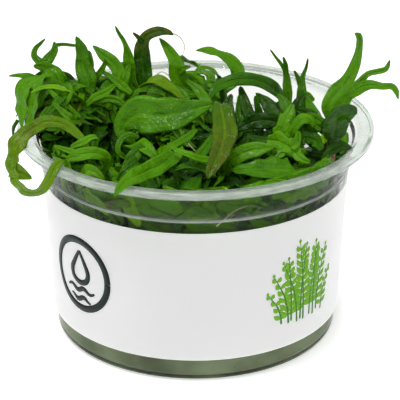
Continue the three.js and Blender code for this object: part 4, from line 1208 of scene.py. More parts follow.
# The rear leaves are named as seen from behind.
LEAVES: tuple[LeafPlan, ...] = (
    # right-hand shoot, standing over the rim
    LeafPlan("leaf_tall", "stem_right", 60, FRESH, (
        Blade(((28.9, -10.2, 56.4), (30.7, -8.5, 58.6), (32.8, -7.4, 60.8), (34.2, -6.9, 63.2),
            (35.2, -6.5, 66), (35.7, -6.5, 69.2), (35.5, -6.8, 71.6), (34.5, -7, 72.5)),
            (1.2, 3.4, 3.8, 3, 2.3, 1.8, 1.5, 1.2)),
    ), tint=0.75),
    LeafPlan("leaf_antler", "stem_right", 50.5, FRESH, (
        Blade(((31, -12, 56.2), (33.3, -12.4, 60.2), (35.7, -12.5, 63.2), (37.3, -12.5, 65),
            (39.5, -12.5, 65.6), (41.1, -12.8, 66.3), (41.9, -13, 68.5)),
            (1.2, 3.8, 3.6, 2.4, 1.8, 1.3, 1.3, 0.6)),
        Blade(((33.2, -12.4, 60), (35.4, -12.9, 61.8), (37.6, -13.8, 63), (40.3, -14.5, 62.9),
            (42.4, -15, 63), (43.4, -15.4, 61.8), (43.8, -15.5, 60.2)), (2, 2.8, 2.1, 1.7, 1.5, 1.3, 0.5)),
    ), tint=0.7),
    LeafPlan("leaf_curled", "stem_right", 47, DARK, (
        Blade(((30.4, -13.4, 53), (30.6, -15.2, 55.6), (31.8, -16.2, 56.9), (33.4, -16.6, 57.5),
            (34.9, -16.4, 57.3)), (1.2, 3.4, 6, 6.6, 5.4, 3), (FRONT, (0.3, -0.95, 0.1), (0.5, -0.8, -0.2)),
            fold=0.05),
    ), WAVY, tint=0.35),
    LeafPlan("leaf_bud", "stem_right", 49.5, PALE, (
        Blade(((27.8, -12.4, 49.6), (26.8, -13, 48)), (0.8, 1.8, 1.8, 0.8)),
    )),
    # lobed leaves left of it
    LeafPlan("leaf_feather_low", "stem_feather", 47, FRESH, (
        Blade(((22.5, -17.5, 48), (20.6, -18, 50), (17.5, -17, 51.2), (15.4, -16, 51)),
            (1.2, 2.2, 3, 3.6, 4, 2), (UP, FRONT, FRONT)),
        Blade(((20.6, -18, 50), (22, -17.6, 51.6), (22.2, -17, 53.6)), (2.2, 1.8, 0.8)),
        Blade(((21.5, -17.8, 49.2), (23, -19.6, 48), (24.8, -20.4, 47.6)), (2.4, 2, 0.8)),
        Blade(((19.6, -17.8, 50.2), (18.4, -19, 49), (17.3, -19.6, 48)), (2.2, 1.8, 0.8)),
    ), TOOTHED, tint=0.9),
    LeafPlan("leaf_feather_high", "stem_feather", 49, FRESH, (
        Blade(((19, -12.5, 52), (20, -11.2, 54.5), (21.5, -9.8, 57)), (1.2, 3.6, 3.2, 2.2, 0.6)),
    ), TOOTHED, tint=0.9),
    LeafPlan("leaf_feather_arc", "stem_feather", 48, FRESH, (
        Blade(((21.4, -13.8, 52.6), (23.2, -13.4, 54.8), (25, -13, 54.4), (26, -13, 52.6)),
            (1.2, 2.4, 2.6, 2.2, 0.8), (RIGHT_UP, UP, FRONT)),
    ), tint=0.8),
    LeafPlan("leaf_raft", "stem_feather", 43.5, FRESH, (
        Blade(((21, -18, 44.6), (21.4, -23, 46.8), (15.4, -26.3, 48.4), (10.5, -27, 48.8), (7.5, -26, 48.2)),
            (1.2, 4.6, 5.6, 5.6, 4, 1), (UP, (0, -0.6, 0.8), (0, -0.6, 0.8))),
    ), WAVY, tint=0.35),
    # thin leaves at the back right
    LeafPlan("leaf_spike_right", "stem_spikes", 46.5, FRESH, (
        Blade(((24.2, 10, 49.5), (24.2, 10, 52.5), (24.4, 11, 55.2), (25.2, 11.6, 57.4), (25.6, 12, 59.6)),
            (1.2, 2.8, 2.8, 1.9, 1.2, 0.8, 0.4)),
        Blade(((24.2, 10.4, 53), (23.4, 10.4, 55), (22.4, 10.2, 57.2)), (1.6, 1.2, 0.5)),
        Blade(((24.2, 10, 51.5), (25.6, 9, 51.3), (27, 8, 50.6)), (1.8, 1.8, 0.8)),
    ), tint=0.4),
    LeafPlan("leaf_spike_left", "stem_spikes", 60, FRESH, (
        Blade(((21, 13, 52), (20.7, 14.5, 55), (19.8, 15, 56.6), (18.4, 16, 58.2), (17, 16, 60.2)),
            (1.2, 2, 1.9, 1.4, 0.9, 0.6, 0.4)),
        Blade(((20.7, 14.2, 54.5), (20.6, 14, 57), (20, 13.6, 59.2)), (1.4, 1.1, 0.5)),
    ), tint=0.4),
    LeafPlan("leaf_arch_right", "stem_spikes", 44.5, DARK, (
        Blade(((20.4, 15.4, 47.4), (18.8, 14.8, 50.2), (16.8, 13.2, 52.5), (14.2, 11.5, 54.2),
            (11.4, 10, 55.2), (8.7, 8.5, 55.5), (5.9, 7, 55), (3.9, 5, 54), (3, 3.4, 52.4)),
            (1.2, 2.2, 2.8, 2.8, 2.8, 2.8, 2.4, 0.8), (BACK_UP, FRONT, FRONT, UP)),
    ), tint=0.9),
    LeafPlan("leaf_under_arch", "stem_spikes", 42, DARK, (
        Blade(((19, 9.2, 46.6), (16.4, 8.2, 49.8), (13.6, 8, 52.6)), (1.2, 3, 3.4, 2.6, 0.6)),
    )),
    # back
    LeafPlan("leaf_back_tongue", "stem_back", 49, FRESH, (
        Blade(((9.8, 20, 52.6), (8.4, 21.6, 54.8), (5.4, 22, 56.6), (2.4, 22, 57.6), (0, 22, 57.6)),
            (1.2, 2.8, 3.4, 3.4, 3, 0.8), (FRONT, UP, UP)),
    ), tint=0.7),
    LeafPlan("leaf_blade_back", "stem_back", 46.5, FRESH, (
        Blade(((1.5, 15.4, 49.4), (-2.2, 14, 51.4), (-4, 13.8, 54.4), (-4.5, 14.2, 57.5), (-6.1, 15.6, 60),
            (-7.5, 17, 61.5), (-8.4, 17.8, 62.3)), (1.2, 2.4, 3.6, 3.8, 3.4, 2.2, 0.6)),
        Blade(((-4, 14, 55.6), (-2.6, 13.6, 56.5), (-1.1, 13.2, 57)), (2.2, 1.5, 0.5)),
    ), tint=0.75),
    LeafPlan("leaf_fingers_high", "stem_back", 60, FRESH, (
        Blade(((5, 15, 54.4), (3, 14.2, 56.1), (1, 13, 56.6), (-0.6, 12, 55.2)), (1.2, 2, 1.8, 1.6, 0.5),
            (UP, UP)),
    )),
    LeafPlan("leaf_fingers_low", "stem_back", 50, FRESH, (
        Blade(((5, 13, 52.8), (3, 11.6, 54), (1.2, 10.6, 53.4)), (1.2, 1.8, 1.6, 0.5), (UP, UP)),
    )),
    LeafPlan("leaf_rear_left", "stem_back", 44, FRESH, (
        Blade(((5, 22, 47), (2, 27, 50.5), (-2, 31, 51.6), (-5, 34.5, 49.6)), (1.2, 4, 4.6, 4, 0.8),
            (BACK_UP, BACK_UP, (0, 0.9, 0.4))),
    ), WAVY),
    # centre back
    LeafPlan("leaf_crook", "stem_crook", 60, DARK, (
        Blade(((-12, 13.6, 55), (-12.2, 14.4, 58.6), (-12.2, 15, 61.4), (-11.2, 15.8, 63.4),
            (-8.8, 16, 64.4), (-6.5, 16, 64.3), (-5, 16, 63.6)), (1.4, 3.8, 4, 3.4, 2.6, 2.3, 2.1, 1.4),
            (FRONT, FRONT, FRONT, UP)),
        Blade(((-12, 15, 62.4), (-13.3, 15.1, 63.6), (-14.3, 15, 64.6)), (1.4, 1, 0.4)),
    ), tint=0.3, rust=(0.0, 0.0, 0.1, 0.7, 1.0, 1.0)),
    LeafPlan("leaf_needle", "stem_crook", 50, FRESH, (
        Blade(((-14.4, 11.2, 53.4), (-14.9, 10.7, 57), (-15.3, 10.7, 60.2), (-15.6, 10.8, 62.2),
            (-16.3, 11, 64.1), (-17.4, 11, 66), (-18.2, 11, 67.8)), (1.2, 2, 2.1, 2.5, 2.2, 1.2, 0.9, 0.4)),
    ), tint=0.75),
    LeafPlan("leaf_arch_left", "stem_crook", 48.5, OLIVE, (
        Blade(((-12.2, 8.6, 52.8), (-11.2, 6, 55.8), (-9, 5, 56.9), (-6.6, 4.6, 55.8), (-4.2, 4, 54.1),
            (-2.6, 3.6, 52.2)), (1.2, 2.4, 3.2, 3.4, 2.8, 0.8), (UP, UP, (0.4, -0.5, 0.8))),
    )),
    LeafPlan("leaf_rear_middle", "stem_crook", 45.5, DARK, (
        Blade(((-14, 18, 49), (-15.5, 23, 52), (-17.5, 28, 52.4), (-19.5, 32, 49.6)),
            (1.2, 4, 4.8, 4.2, 0.8), (BACK_UP, BACK_UP, (-0.3, 0.85, 0.4))),
    ), WAVY),
    # left
    LeafPlan("leaf_spear", "stem_left_back", 60, FRESH, (
        Blade(((-24.4, 6, 57), (-25.4, 7.2, 59.8), (-25.5, 7.6, 62.4), (-26.2, 8, 64.6), (-26.9, 8, 66.3)),
            (1.4, 3.8, 3.9, 3, 2.2, 0.6)),
    ), WAVY, tint=0.5),
    LeafPlan("leaf_ribbon", "stem_left_back", 50.5, FRESH, (
        Blade(((-20.4, 7.6, 54), (-18.2, 7.9, 55.6), (-17.4, 8.4, 57.4), (-18.6, 9.2, 59.3),
            (-20.8, 10.4, 60.8), (-23.4, 12, 62.6)), (1.2, 2, 2.4, 2.8, 2.8, 2.2, 0.6), (UP, FRONT, FRONT)),
    ), tint=0.6),
    LeafPlan("leaf_roof", "stem_left_back", 50, DARK, (
        Blade(((-27, 7.6, 53.2), (-30, 8.8, 55), (-33.6, 9, 56.2), (-36.4, 9, 56.6)), (1.2, 4.4, 5, 4, 1),
            (UP, UP, FRONT)),
    ), WAVY),
    LeafPlan("leaf_pin", "stem_left_back", 48, PALE, (
        Blade(((-26, 0, 54.5), (-30, -4.4, 58.6), (-33, -5.4, 59.2), (-36.4, -6, 58.2)),
            (1.2, 1.8, 2.2, 2, 0.6), (UP, UP)),
    )),
    LeafPlan("leaf_feather_left", "stem_left", 60, FRESH, (
        Blade(((-31.3, 2.6, 57.6), (-32.6, 3.8, 59.4), (-34.7, 5, 61), (-36.2, 6, 62.3), (-35.9, 6, 64),
            (-34.7, 6, 65.3), (-33.5, 6, 66.5)), (1.4, 3.6, 3.6, 2.4, 1.7, 1.3, 1, 0.4)),
        Blade(((-34, 4.8, 60.8), (-32.6, 5.6, 62.2), (-31.6, 5.6, 63.8), (-31.6, 5.6, 65.9)),
            (2.2, 2.2, 1.8, 1.5, 0.5)),
        Blade(((-31.7, 5.6, 64.9), (-29.8, 6.4, 64.9), (-28, 7, 64.5), (-26.6, 7.4, 64.2)), (1, 0.8, 0.6)),
    ), WAVY, tint=0.5),
    LeafPlan("leaf_drape", "stem_left", 49, FRESH, (
        Blade(((-34.2, -1.4, 56), (-35.8, -1.3, 58), (-37.5, -1.8, 58.4), (-38.4, -2.6, 56.4),
            (-38.4, -3.6, 53.4), (-38.5, -4.8, 51.4), (-38.6, -5.8, 49.6)),
            (1.2, 2.6, 3.8, 4.8, 4.8, 4, 2.8, 0.8), (UP, LEFT_UP, LEFT_UP, LEFT_UP)),
    ), WAVY, tint=0.75),
    LeafPlan("leaf_lobe", "stem_left", 47.5, FRESH, (
        Blade(((-33.6, 3.8, 53.6), (-36, 4.2, 57), (-39, 4, 58.2), (-42, 3.6, 58.4)),
            (1.2, 3, 3.2, 2.6, 0.6), (UP, UP)),
    ), tint=0.6),
    LeafPlan("leaf_cross_high", "stem_left", 49, FRESH, (
        Blade(((-30.6, -3.4, 54.4), (-29.4, -6.4, 57.2), (-30, -8.2, 57.2), (-31.4, -9.3, 55.7),
            (-33, -10, 54.2)), (1.2, 1.6, 1.8, 2, 0.8), (UP, UP, FRONT)),
    )),
    LeafPlan("leaf_cross_low", "stem_left", 46.5, FRESH, (
        Blade(((-26, -5, 51), (-27.4, -10.6, 53.8), (-29.6, -10.6, 56), (-31.4, -10.4, 57.8)),
            (1.2, 1.8, 2, 1.8, 0.6), (RIGHT, FRONT)),
    )),
    LeafPlan("leaf_rear_right", "stem_left", 44.5, FRESH, (
        Blade(((-29.5, 7, 47.5), (-30, 13, 51.4), (-30.5, 18, 51.8), (-31, 22, 49.4)), (1.2, 4, 4.6, 4, 0.8),
            (UP, LEFT_UP, (-0.6, 0.6, 0.4))),
    ), WAVY),
    # the big loop over the rim, front left
    LeafPlan("leaf_loop", "stem_left_front", 45, OLIVE, (
        Blade(((-24.5, -14.2, 50), (-26.1, -13, 51.4), (-28, -12.2, 52.7), (-30.2, -12, 53.6),
            (-32.9, -12, 53.6), (-35, -12, 52.5), (-37.5, -12.8, 51), (-39.1, -14.6, 48.8),
            (-39.8, -16, 46.4), (-39.8, -17.7, 45.1), (-39.1, -20, 43.8), (-38, -22.5, 43),
            (-36.2, -25, 42.7), (-33.8, -27.4, 43.7), (-32.1, -28.7, 45.6), (-30.9, -28.5, 47.8),
            (-29.5, -27, 50), (-27.8, -25, 50.2)),
            (1.2, 1.4, 1.6, 1.8, 2.2, 2.6, 2.6, 2.9, 3.6, 4, 3.4, 2.9, 2.7, 2.2, 1.6, 1.5, 2, 2.2, 2.1, 1),
            (UP, FRONT, FRONT, FRONT, (-0.6, -0.75, 0.25), (-0.6, -0.75, 0.1), (-0.5, -0.8, 0.1), FRONT,
            FRONT)),
        Blade(((-40, -18, 45), (-38.4, -18.8, 44.5), (-37, -19.2, 44), (-35.6, -19.5, 43.4)),
            (3.6, 3.2, 2, 0.5)),
    ), WAVY, tint=0.6, rust=(0.0, 0.0, 0.2, 0.6, 0.35, 0.15, 0.1, 0.15, 0.1)),
    LeafPlan("leaf_fork_high", "stem_left_front", 60, FRESH, (
        Blade(((-21.8, -16.8, 50.2), (-21.4, -17.2, 52), (-22.4, -17.9, 52.5), (-24.4, -18.8, 51.7),
            (-27.2, -19.7, 50.8)), (1.2, 1.4, 1.7, 1.8, 0.8), (FRONT, UP, FRONT)),
    ), tint=1.0),
    LeafPlan("leaf_fork_low", "stem_left_front", 41.5, FRESH, (
        Blade(((-20, -18.6, 45), (-19.2, -19.9, 47.6), (-19.9, -20.7, 49.3), (-22, -21.1, 50.1),
            (-24.5, -21.5, 50), (-26.6, -21.7, 49.4), (-28, -21.6, 48.8)),
            (1.2, 1.4, 1.8, 2.2, 2.7, 2.6, 1)),
        Blade(((-25, -21.5, 50), (-28, -21, 50.9), (-30.6, -20.4, 51.6)), (1.6, 1.3, 0.4)),
    ), tint=1.0),
    LeafPlan("leaf_rib", "stem_left_front", 39, PALE, (
        Blade(((-23.4, -20.4, 42.4), (-23.4, -24.4, 47.4), (-21.6, -25.2, 47.4), (-19.4, -25.8, 45.6)),
            (1.2, 2.4, 3, 2.6, 0.8), (UP, FRONT)),
    )),
    # centre front
    LeafPlan("leaf_broad", "stem_front", 60, FRESH, (
        Blade(((-14, -10.9, 48.4), (-15.8, -10.4, 50.8), (-15.1, -9.9, 53), (-13, -10, 54.4),
            (-9.3, -10.8, 54.6), (-6, -11.2, 55), (-2.6, -11.3, 55.6), (0.4, -11, 56.5), (2.8, -10.4, 57),
            (4, -10, 57.2)), (1.2, 2, 4.4, 7.4, 8, 7.2, 5.6, 3.4, 0.8), (LEFT_UP, FRONT, FRONT, FRONT)),
    ), tint=0.5),
    LeafPlan("leaf_pointed", "stem_front", 43.8, FRESH, (
        Blade(((-14.2, -14.4, 48.8), (-12, -17.2, 50.3), (-10, -19.4, 49.9), (-8, -21.3, 48.2)),
            (1.2, 3.2, 3.8, 3, 0.6), (BACK_UP, UP, FRONT)),
    ), tint=0.8),
    LeafPlan("leaf_over_rim", "stem_front", 42, FRESH, (
        Blade(((-8, -14.6, 47), (-4.4, -18.6, 49.4), (-6, -23.4, 49.6), (-8.8, -28, 49.6), (-11.4, -32, 50),
            (-13.6, -36, 50.6), (-15.6, -39.4, 50.2), (-17, -41.6, 48.8)),
            (1.2, 3, 3.8, 3.8, 3.8, 3.6, 2.8, 0.8), (UP, FRONT, FRONT)),
    ), tint=0.7),
    LeafPlan("leaf_low_left", "stem_front", 39.5, DARK, (
        Blade(((-13, -17, 44), (-12.4, -22, 48.2), (-14.8, -24.4, 47.6), (-17, -25.4, 45.4)),
            (1.2, 3.4, 3.8, 3.2, 0.8), (UP, FRONT)),
    )),
    # front right
    LeafPlan("leaf_bow_left", "stem_right_front", 60, FRESH, (
        Blade(((4, -23.2, 49.2), (1, -24.2, 50), (-1.6, -24, 51), (-4.4, -22.6, 51.6), (-6.2, -21.4, 52.6)),
            (1.2, 2.4, 2.4, 2, 1.4, 0.5), (UP, UP)),
    ), tint=0.95),
    LeafPlan("leaf_bow_right", "stem_right_front", 44.5, FRESH, (
        Blade(((7.8, -22.2, 49), (10.4, -22.6, 50.8), (13.4, -22.4, 51.6), (17, -21.8, 51.8)),
            (1.2, 3.4, 3.6, 3, 0.8)),
    ), tint=0.85),
    LeafPlan("leaf_curl", "stem_middle", 60, OLIVE, (
        Blade(((5.6, -10, 57), (5.6, -13.4, 57.2), (6.1, -17, 55.7), (6.1, -22, 54.1), (4.9, -27, 52.4),
            (3.4, -30.4, 50.5), (2.4, -32, 48.9)), (1.4, 2.4, 3.6, 4.9, 5, 4.2, 3, 1.6), (UP, FRONT,
            (0.2, -0.75, 0.6)), fold=0.3),
    ), tint=0.05, rust=(0.0, 0.0, 0.3, 0.7, 0.9)),
    LeafPlan("leaf_strap_left", "stem_middle", 46, DARK, (
        Blade(((9.8, -1, 47.6), (10.2, 2, 50.4), (9.8, 3.6, 54)), (1.2, 2.6, 2.6, 2.2, 0.8)),
    )),
    LeafPlan("leaf_strap_right", "stem_middle", 42.5, DARK, (
        Blade(((13, -1.4, 44.6), (14.4, 3, 48), (13.4, 4.4, 53.4)), (1.2, 2.4, 2.4, 2, 0.8)),
    )),
)


@dataclass(frozen=True)
class LargeLeaves:
    """Every large leaf, each standing for its own solid.

    Attributes:
        shape: how the blades are built.
        tint_step: step of the tint from leaf to leaf, where a plan gives none.
    """

    shape: BladeShape = BladeShape()
    tint_step: float = 0.618

    def build(self, finishes: Finishes) -> None:
        """Makes the leaves: the first blade from its stem, then its forks, joined in one piece."""
        for number, plan in enumerate(LEAVES):
            tint = plan.tint if plan.tint is not None else (number * self.tint_step) % 1.0
            first, *forks = plan.blades
            foot = stalk_foot(plan.stem, plan.at, first.route[0])
            whole = replace(first, route=(foot, *first.route))
            skins = [
                self.shape.skin(blade, plan.margin, plan.rust, tint, 10 * number + place, place > 0)
                for place, blade in enumerate((whole, *forks))
            ]
            make_piece("blade_" + plan.name, skins, finishes.leaf[plan.tone], (plan.name,))


# ---------------------------------------------------------------- Packed small leaves


@dataclass
class LeafCrowd:
    """Small leaves as arrays, one row a leaf, in millimetres.

    Attributes:
        base: where each leaf starts.
        heading: the way it sets off.
        face: the way its upper side looks.
        length, width: its sizes.
        bend, sway: how far it curves down from its face and to the side, as shares of its length.
        twist: how far its blade turns, in radians.
        tint: one number for its colour.
    """

    base: np.ndarray
    heading: np.ndarray
    face: np.ndarray
    length: np.ndarray
    width: np.ndarray
    bend: np.ndarray
    sway: np.ndarray
    twist: np.ndarray
    tint: np.ndarray

    # sections along a leaf, and the place across and the side of each point of a section
    STATIONS = 11
    ACROSS = (-1, -0.5, 0, 0.5, 1, 0)
    SIDE = (0, 1, 1, 1, 0, -1)
    # how far left of the middle a leaf stays as it is, and how much further it can reach
    LEFT_FREE, LEFT_ROOM = 38.5, 3.2

    def line(self, t: np.ndarray) -> tuple[np.ndarray, np.ndarray, np.ndarray]:
        """Centre lines, upper-side directions and directions across, at shares t of each leaf."""
        heading = unit(self.heading)
        face = unit(self.face - heading * (self.face * heading).sum(-1, keepdims=True))
        aside = np.cross(heading, face)
        line = self.base[:, None] + self.length[:, None, None] * (
            t[:, None] * heading[:, None]
            - (self.bend[:, None] * t**2)[..., None] * face[:, None]
            + (self.sway[:, None] * np.sin(1.5 * math.pi * t))[..., None] * aside[:, None]
        )
        return line, face, aside

    def lobes(self, count: int, seed: int) -> LeafCrowd:
        """Side lobes: short blades that leave each leaf's line in turn to the left and right.

        Args:
            count: lobes on each leaf.
            seed: how their lengths and directions are drawn.

        Returns:
            A crowd of the lobes, count for each leaf.
        """
        draw = np.random.default_rng(seed)
        leaves = len(self.length)
        total = leaves * count
        t = np.linspace(0.25, 0.85, count)
        line, face, aside = self.line(t)
        ahead = unit(self.line(t + 0.03)[0] - line)
        way = np.where(np.arange(count) % 2, -1.0, 1.0)[None, :, None]
        heading = unit(ahead + way * aside[:, None] * draw.uniform(0.6, 1.1, (leaves, count, 1)))
        scale = draw.uniform(0.26, 0.45, (leaves, count)) * (1.1 - 0.5 * t)
        return LeafCrowd(
            base=(line - ahead * 0.3).reshape(-1, 3),
            heading=heading.reshape(-1, 3),
            face=np.repeat(face, count, 0) + draw.normal(size=(total, 3)) * 0.12,
            length=(self.length[:, None] * scale).ravel(),
            width=np.repeat(self.width, count) * draw.uniform(0.5, 0.8, total),
            bend=draw.uniform(-0.1, 0.3, total),
            sway=draw.normal(size=total) * 0.06,
            twist=draw.normal(size=total) * 0.3,
            tint=np.repeat(self.tint, count),
        )

    def skin(self, cup: Cup, canopy: Canopy) -> Skin:
        """Works out all the leaves at once.

        A leaf's line starts at its base, runs along its heading, bends away from its face by the
        square of the length run and sways aside. The blade is a strap: it widens after a short
        stalk, each edge wanders by itself, the end is blunt, and the blade twists along its line.
        It lies flat where it meets the cup's wall or the canopy's height, and bends back before
        it stands too far over the rim on the left. Tints from 0.9 to 1 bring rust.
        """
        t = np.linspace(0, 1, self.STATIONS)
        line, face, _ = self.line(t)
        ahead = unit(np.gradient(line, axis=1))
        level = unit(np.cross(ahead, face[:, None]))
        square = np.cross(level, ahead)
        turn = (self.twist[:, None] * (t - 0.3))[..., None]
        across_way = level * np.cos(turn) + square * np.sin(turn)
        up = square * np.cos(turn) - level * np.sin(turn)
        shape = (0.28 + 0.72 * ease(t, 0.02, 0.35)) * np.sqrt(np.clip((1.03 - t) / 0.3, 0, 1))
        across, side = np.array(self.ACROSS, float), np.array(self.SIDE, float)
        station, tint = t[None, :, None], self.tint[:, None, None]
        phase = 40 * tint + 2.6 * across
        wander = 1 + 0.2 * np.sin(9 * station + phase) + 0.1 * np.sin(21 * station + 2 * phase)
        half = (self.width[:, None] * shape / 2)[..., None]
        crimp = 0.16 * np.sin(8 * station + 20 * tint + 1.5 * across)
        flesh = (0.12 + 0.06 * (across == 0)) * np.sqrt(np.clip(half, 0.1, 1))
        lift = half * (0.2 + crimp) * np.abs(across) + side * flesh
        flat = line[:, :, None] + across_way[:, :, None] * (across * half * wander)[..., None]
        rings = flat + up[:, :, None] * lift[..., None]
        rings = canopy.hold_under(hold_inside(rings, cup))
        left = rings[..., 0]
        eased = -self.LEFT_FREE - self.LEFT_ROOM * (1 - np.exp((left + self.LEFT_FREE) / self.LEFT_ROOM))
        rings[..., 0] = np.where(left < -self.LEFT_FREE, eased, left)
        rust = (ease(self.tint, 0.9, 1.0) * (self.tint < 1) * 0.8)[:, None, None]
        along = (t * self.length[:, None])[..., None]
        return Skin(rings, marks_over(rings.shape[:3], across=across, along=along, tint=tint, rust=rust))


def hold_inside(points: np.ndarray, cup: Cup, room: float = 0.9, clearance: float = 0.12) -> np.ndarray:
    """Eases points back from the cup's wall where they lie below its rim.

    Args:
        points: places in millimetres, along the last axis.
        cup: the cup.
        room: how far before the limit the easing starts.
        clearance: how far inside the wall the limit lies.

    Returns:
        The points: the room shrinks as 1 - e^-x, so that none passes the limit.
    """
    radius = np.hypot(points[..., 0], points[..., 1])
    limit = cup.outer_radius(points[..., 2]) - cup.wall - clearance
    start = limit - room
    over = np.maximum(radius - start, 0)
    eased = start + room * (1 - np.exp(-over / room))
    below = 1 - ease(points[..., 2], cup.flange_inner[1] + 0.2, cup.rim[1] + 1.2)
    wanted = np.where(radius > start, radius + (eased - radius) * below, radius)
    scale = wanted / np.maximum(radius, 1e-6)
    return np.concatenate((points[..., :2] * scale[..., None], points[..., 2:]), -1)


@dataclass(frozen=True)
class Canopy:
    """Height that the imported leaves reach: a base level with smooth mounds on it.

    Attributes:
        level: height between the mounds.
        mounds: for each mound its middle, its half sizes and its rise.
        over: how far a leaf can stand over this height.
    """

    level: float = 45.0
    mounds: tuple[tuple[float, float, float, float, float], ...] = (
        (-31, 2, 8, 12, 9.5),
        (-21, 13, 8, 8, 7.0),
        (-4, 14, 9, 8, 4.5),
        (22, -13, 7, 6, 2.5),
    )
    over: float = 2.8

    def height(self, x: np.ndarray, y: np.ndarray) -> np.ndarray:
        """The canopy's height at places in the cup."""
        total = np.full(np.shape(x), self.level)
        for middle_x, middle_y, reach_x, reach_y, rise in self.mounds:
            fall = -(((x - middle_x) / reach_x) ** 2) - ((y - middle_y) / reach_y) ** 2
            total = total + rise * np.exp(fall)
        return total

    def hold_under(self, points: np.ndarray) -> np.ndarray:
        """Eases points that rise over the canopy back to it, so leaves bend flat at the top."""
        height = self.height(points[..., 0], points[..., 1])
        above = np.maximum(points[..., 2] - height, 0)
        top = height + self.over * (1 - np.exp(-above / self.over))
        return np.concatenate((points[..., :2], np.where(above > 0, top, points[..., 2])[..., None]), -1)


@dataclass(frozen=True)
class FreePocket:
    """The part of the cup, at the back right, that the crowds of leaves leave empty.

    Attributes:
        angle, half_angle: the way it lies from the middle and how far it opens to each side.
        inner_radius: where it starts.
    """

    angle: float = 0.72
    half_angle: float = 0.6
    inner_radius: float = 13.0

    def holds(self, points: np.ndarray) -> np.ndarray:
        """Whether each point lies in the pocket."""
        turn = np.arctan2(points[..., 1], points[..., 0]) - self.angle
        turn = np.arctan2(np.sin(turn), np.cos(turn))
        far = np.hypot(points[..., 0], points[..., 1])
        return (np.abs(turn) < self.half_angle) & (far > self.inner_radius)


@dataclass(frozen=True)
class Clump:
    """A patch of small leaves under the canopy.

    Attributes:
        middle: its middle in millimetres.
        reach: its half sizes.
        depth: how far under the canopy the leaves start, least and most.
        count: leaves in it.
        length: shortest and longest leaf.
        width: narrowest and widest leaf.
        rise: how much the leaves head upward.
        tone: their green.
        lobes: side lobes on each leaf.
    """

    middle: tuple[float, float]
    reach: tuple[float, float]
    depth: tuple[float, float]
    count: int
    length: tuple[float, float]
    width: tuple[float, float]
    rise: float
    tone: Tone
    lobes: int = 0

    def crowd(self, seed: int, canopy: Canopy) -> LeafCrowd:
        """Draws the leaves: bases fill the patch, and headings point any way, a little upward."""
        draw = np.random.default_rng(seed)
        n = self.count
        turn = draw.uniform(0, 2 * math.pi, n)
        far = np.sqrt(draw.uniform(0, 1, n))
        x = self.middle[0] + self.reach[0] * far * np.cos(turn)
        y = self.middle[1] + self.reach[1] * far * np.sin(turn)
        z = canopy.height(x, y) - draw.uniform(*self.depth, n)
        way = draw.uniform(0, 2 * math.pi, n)
        length = draw.uniform(*self.length, n)
        heading = np.stack((np.cos(way), np.sin(way), self.rise + draw.normal(size=n) * 0.3), -1)
        middle = np.stack((x, y, z), -1)
        return LeafCrowd(
            base=middle - unit(heading) * length[:, None] * 0.5,
            heading=heading,
            face=np.array((0, -0.35, 1.0)) + draw.normal(size=(n, 3)) * 0.45,
            length=length,
            width=draw.uniform(*self.width, n),
            bend=draw.uniform(-0.05, 0.5, n),
            sway=draw.normal(size=n) * 0.1,
            twist=draw.normal(size=n) * 0.9,
            # painted shade: the tint falls by a tenth for each millimetre that a leaf starts under the
            # canopy, down to 0.4 of it six millimetres down, so deeper leaves get the darker green
            tint=draw.uniform(0, 1, n) * (1 - 0.1 * np.clip(canopy.height(x, y) - z, 0, 6)),
        )


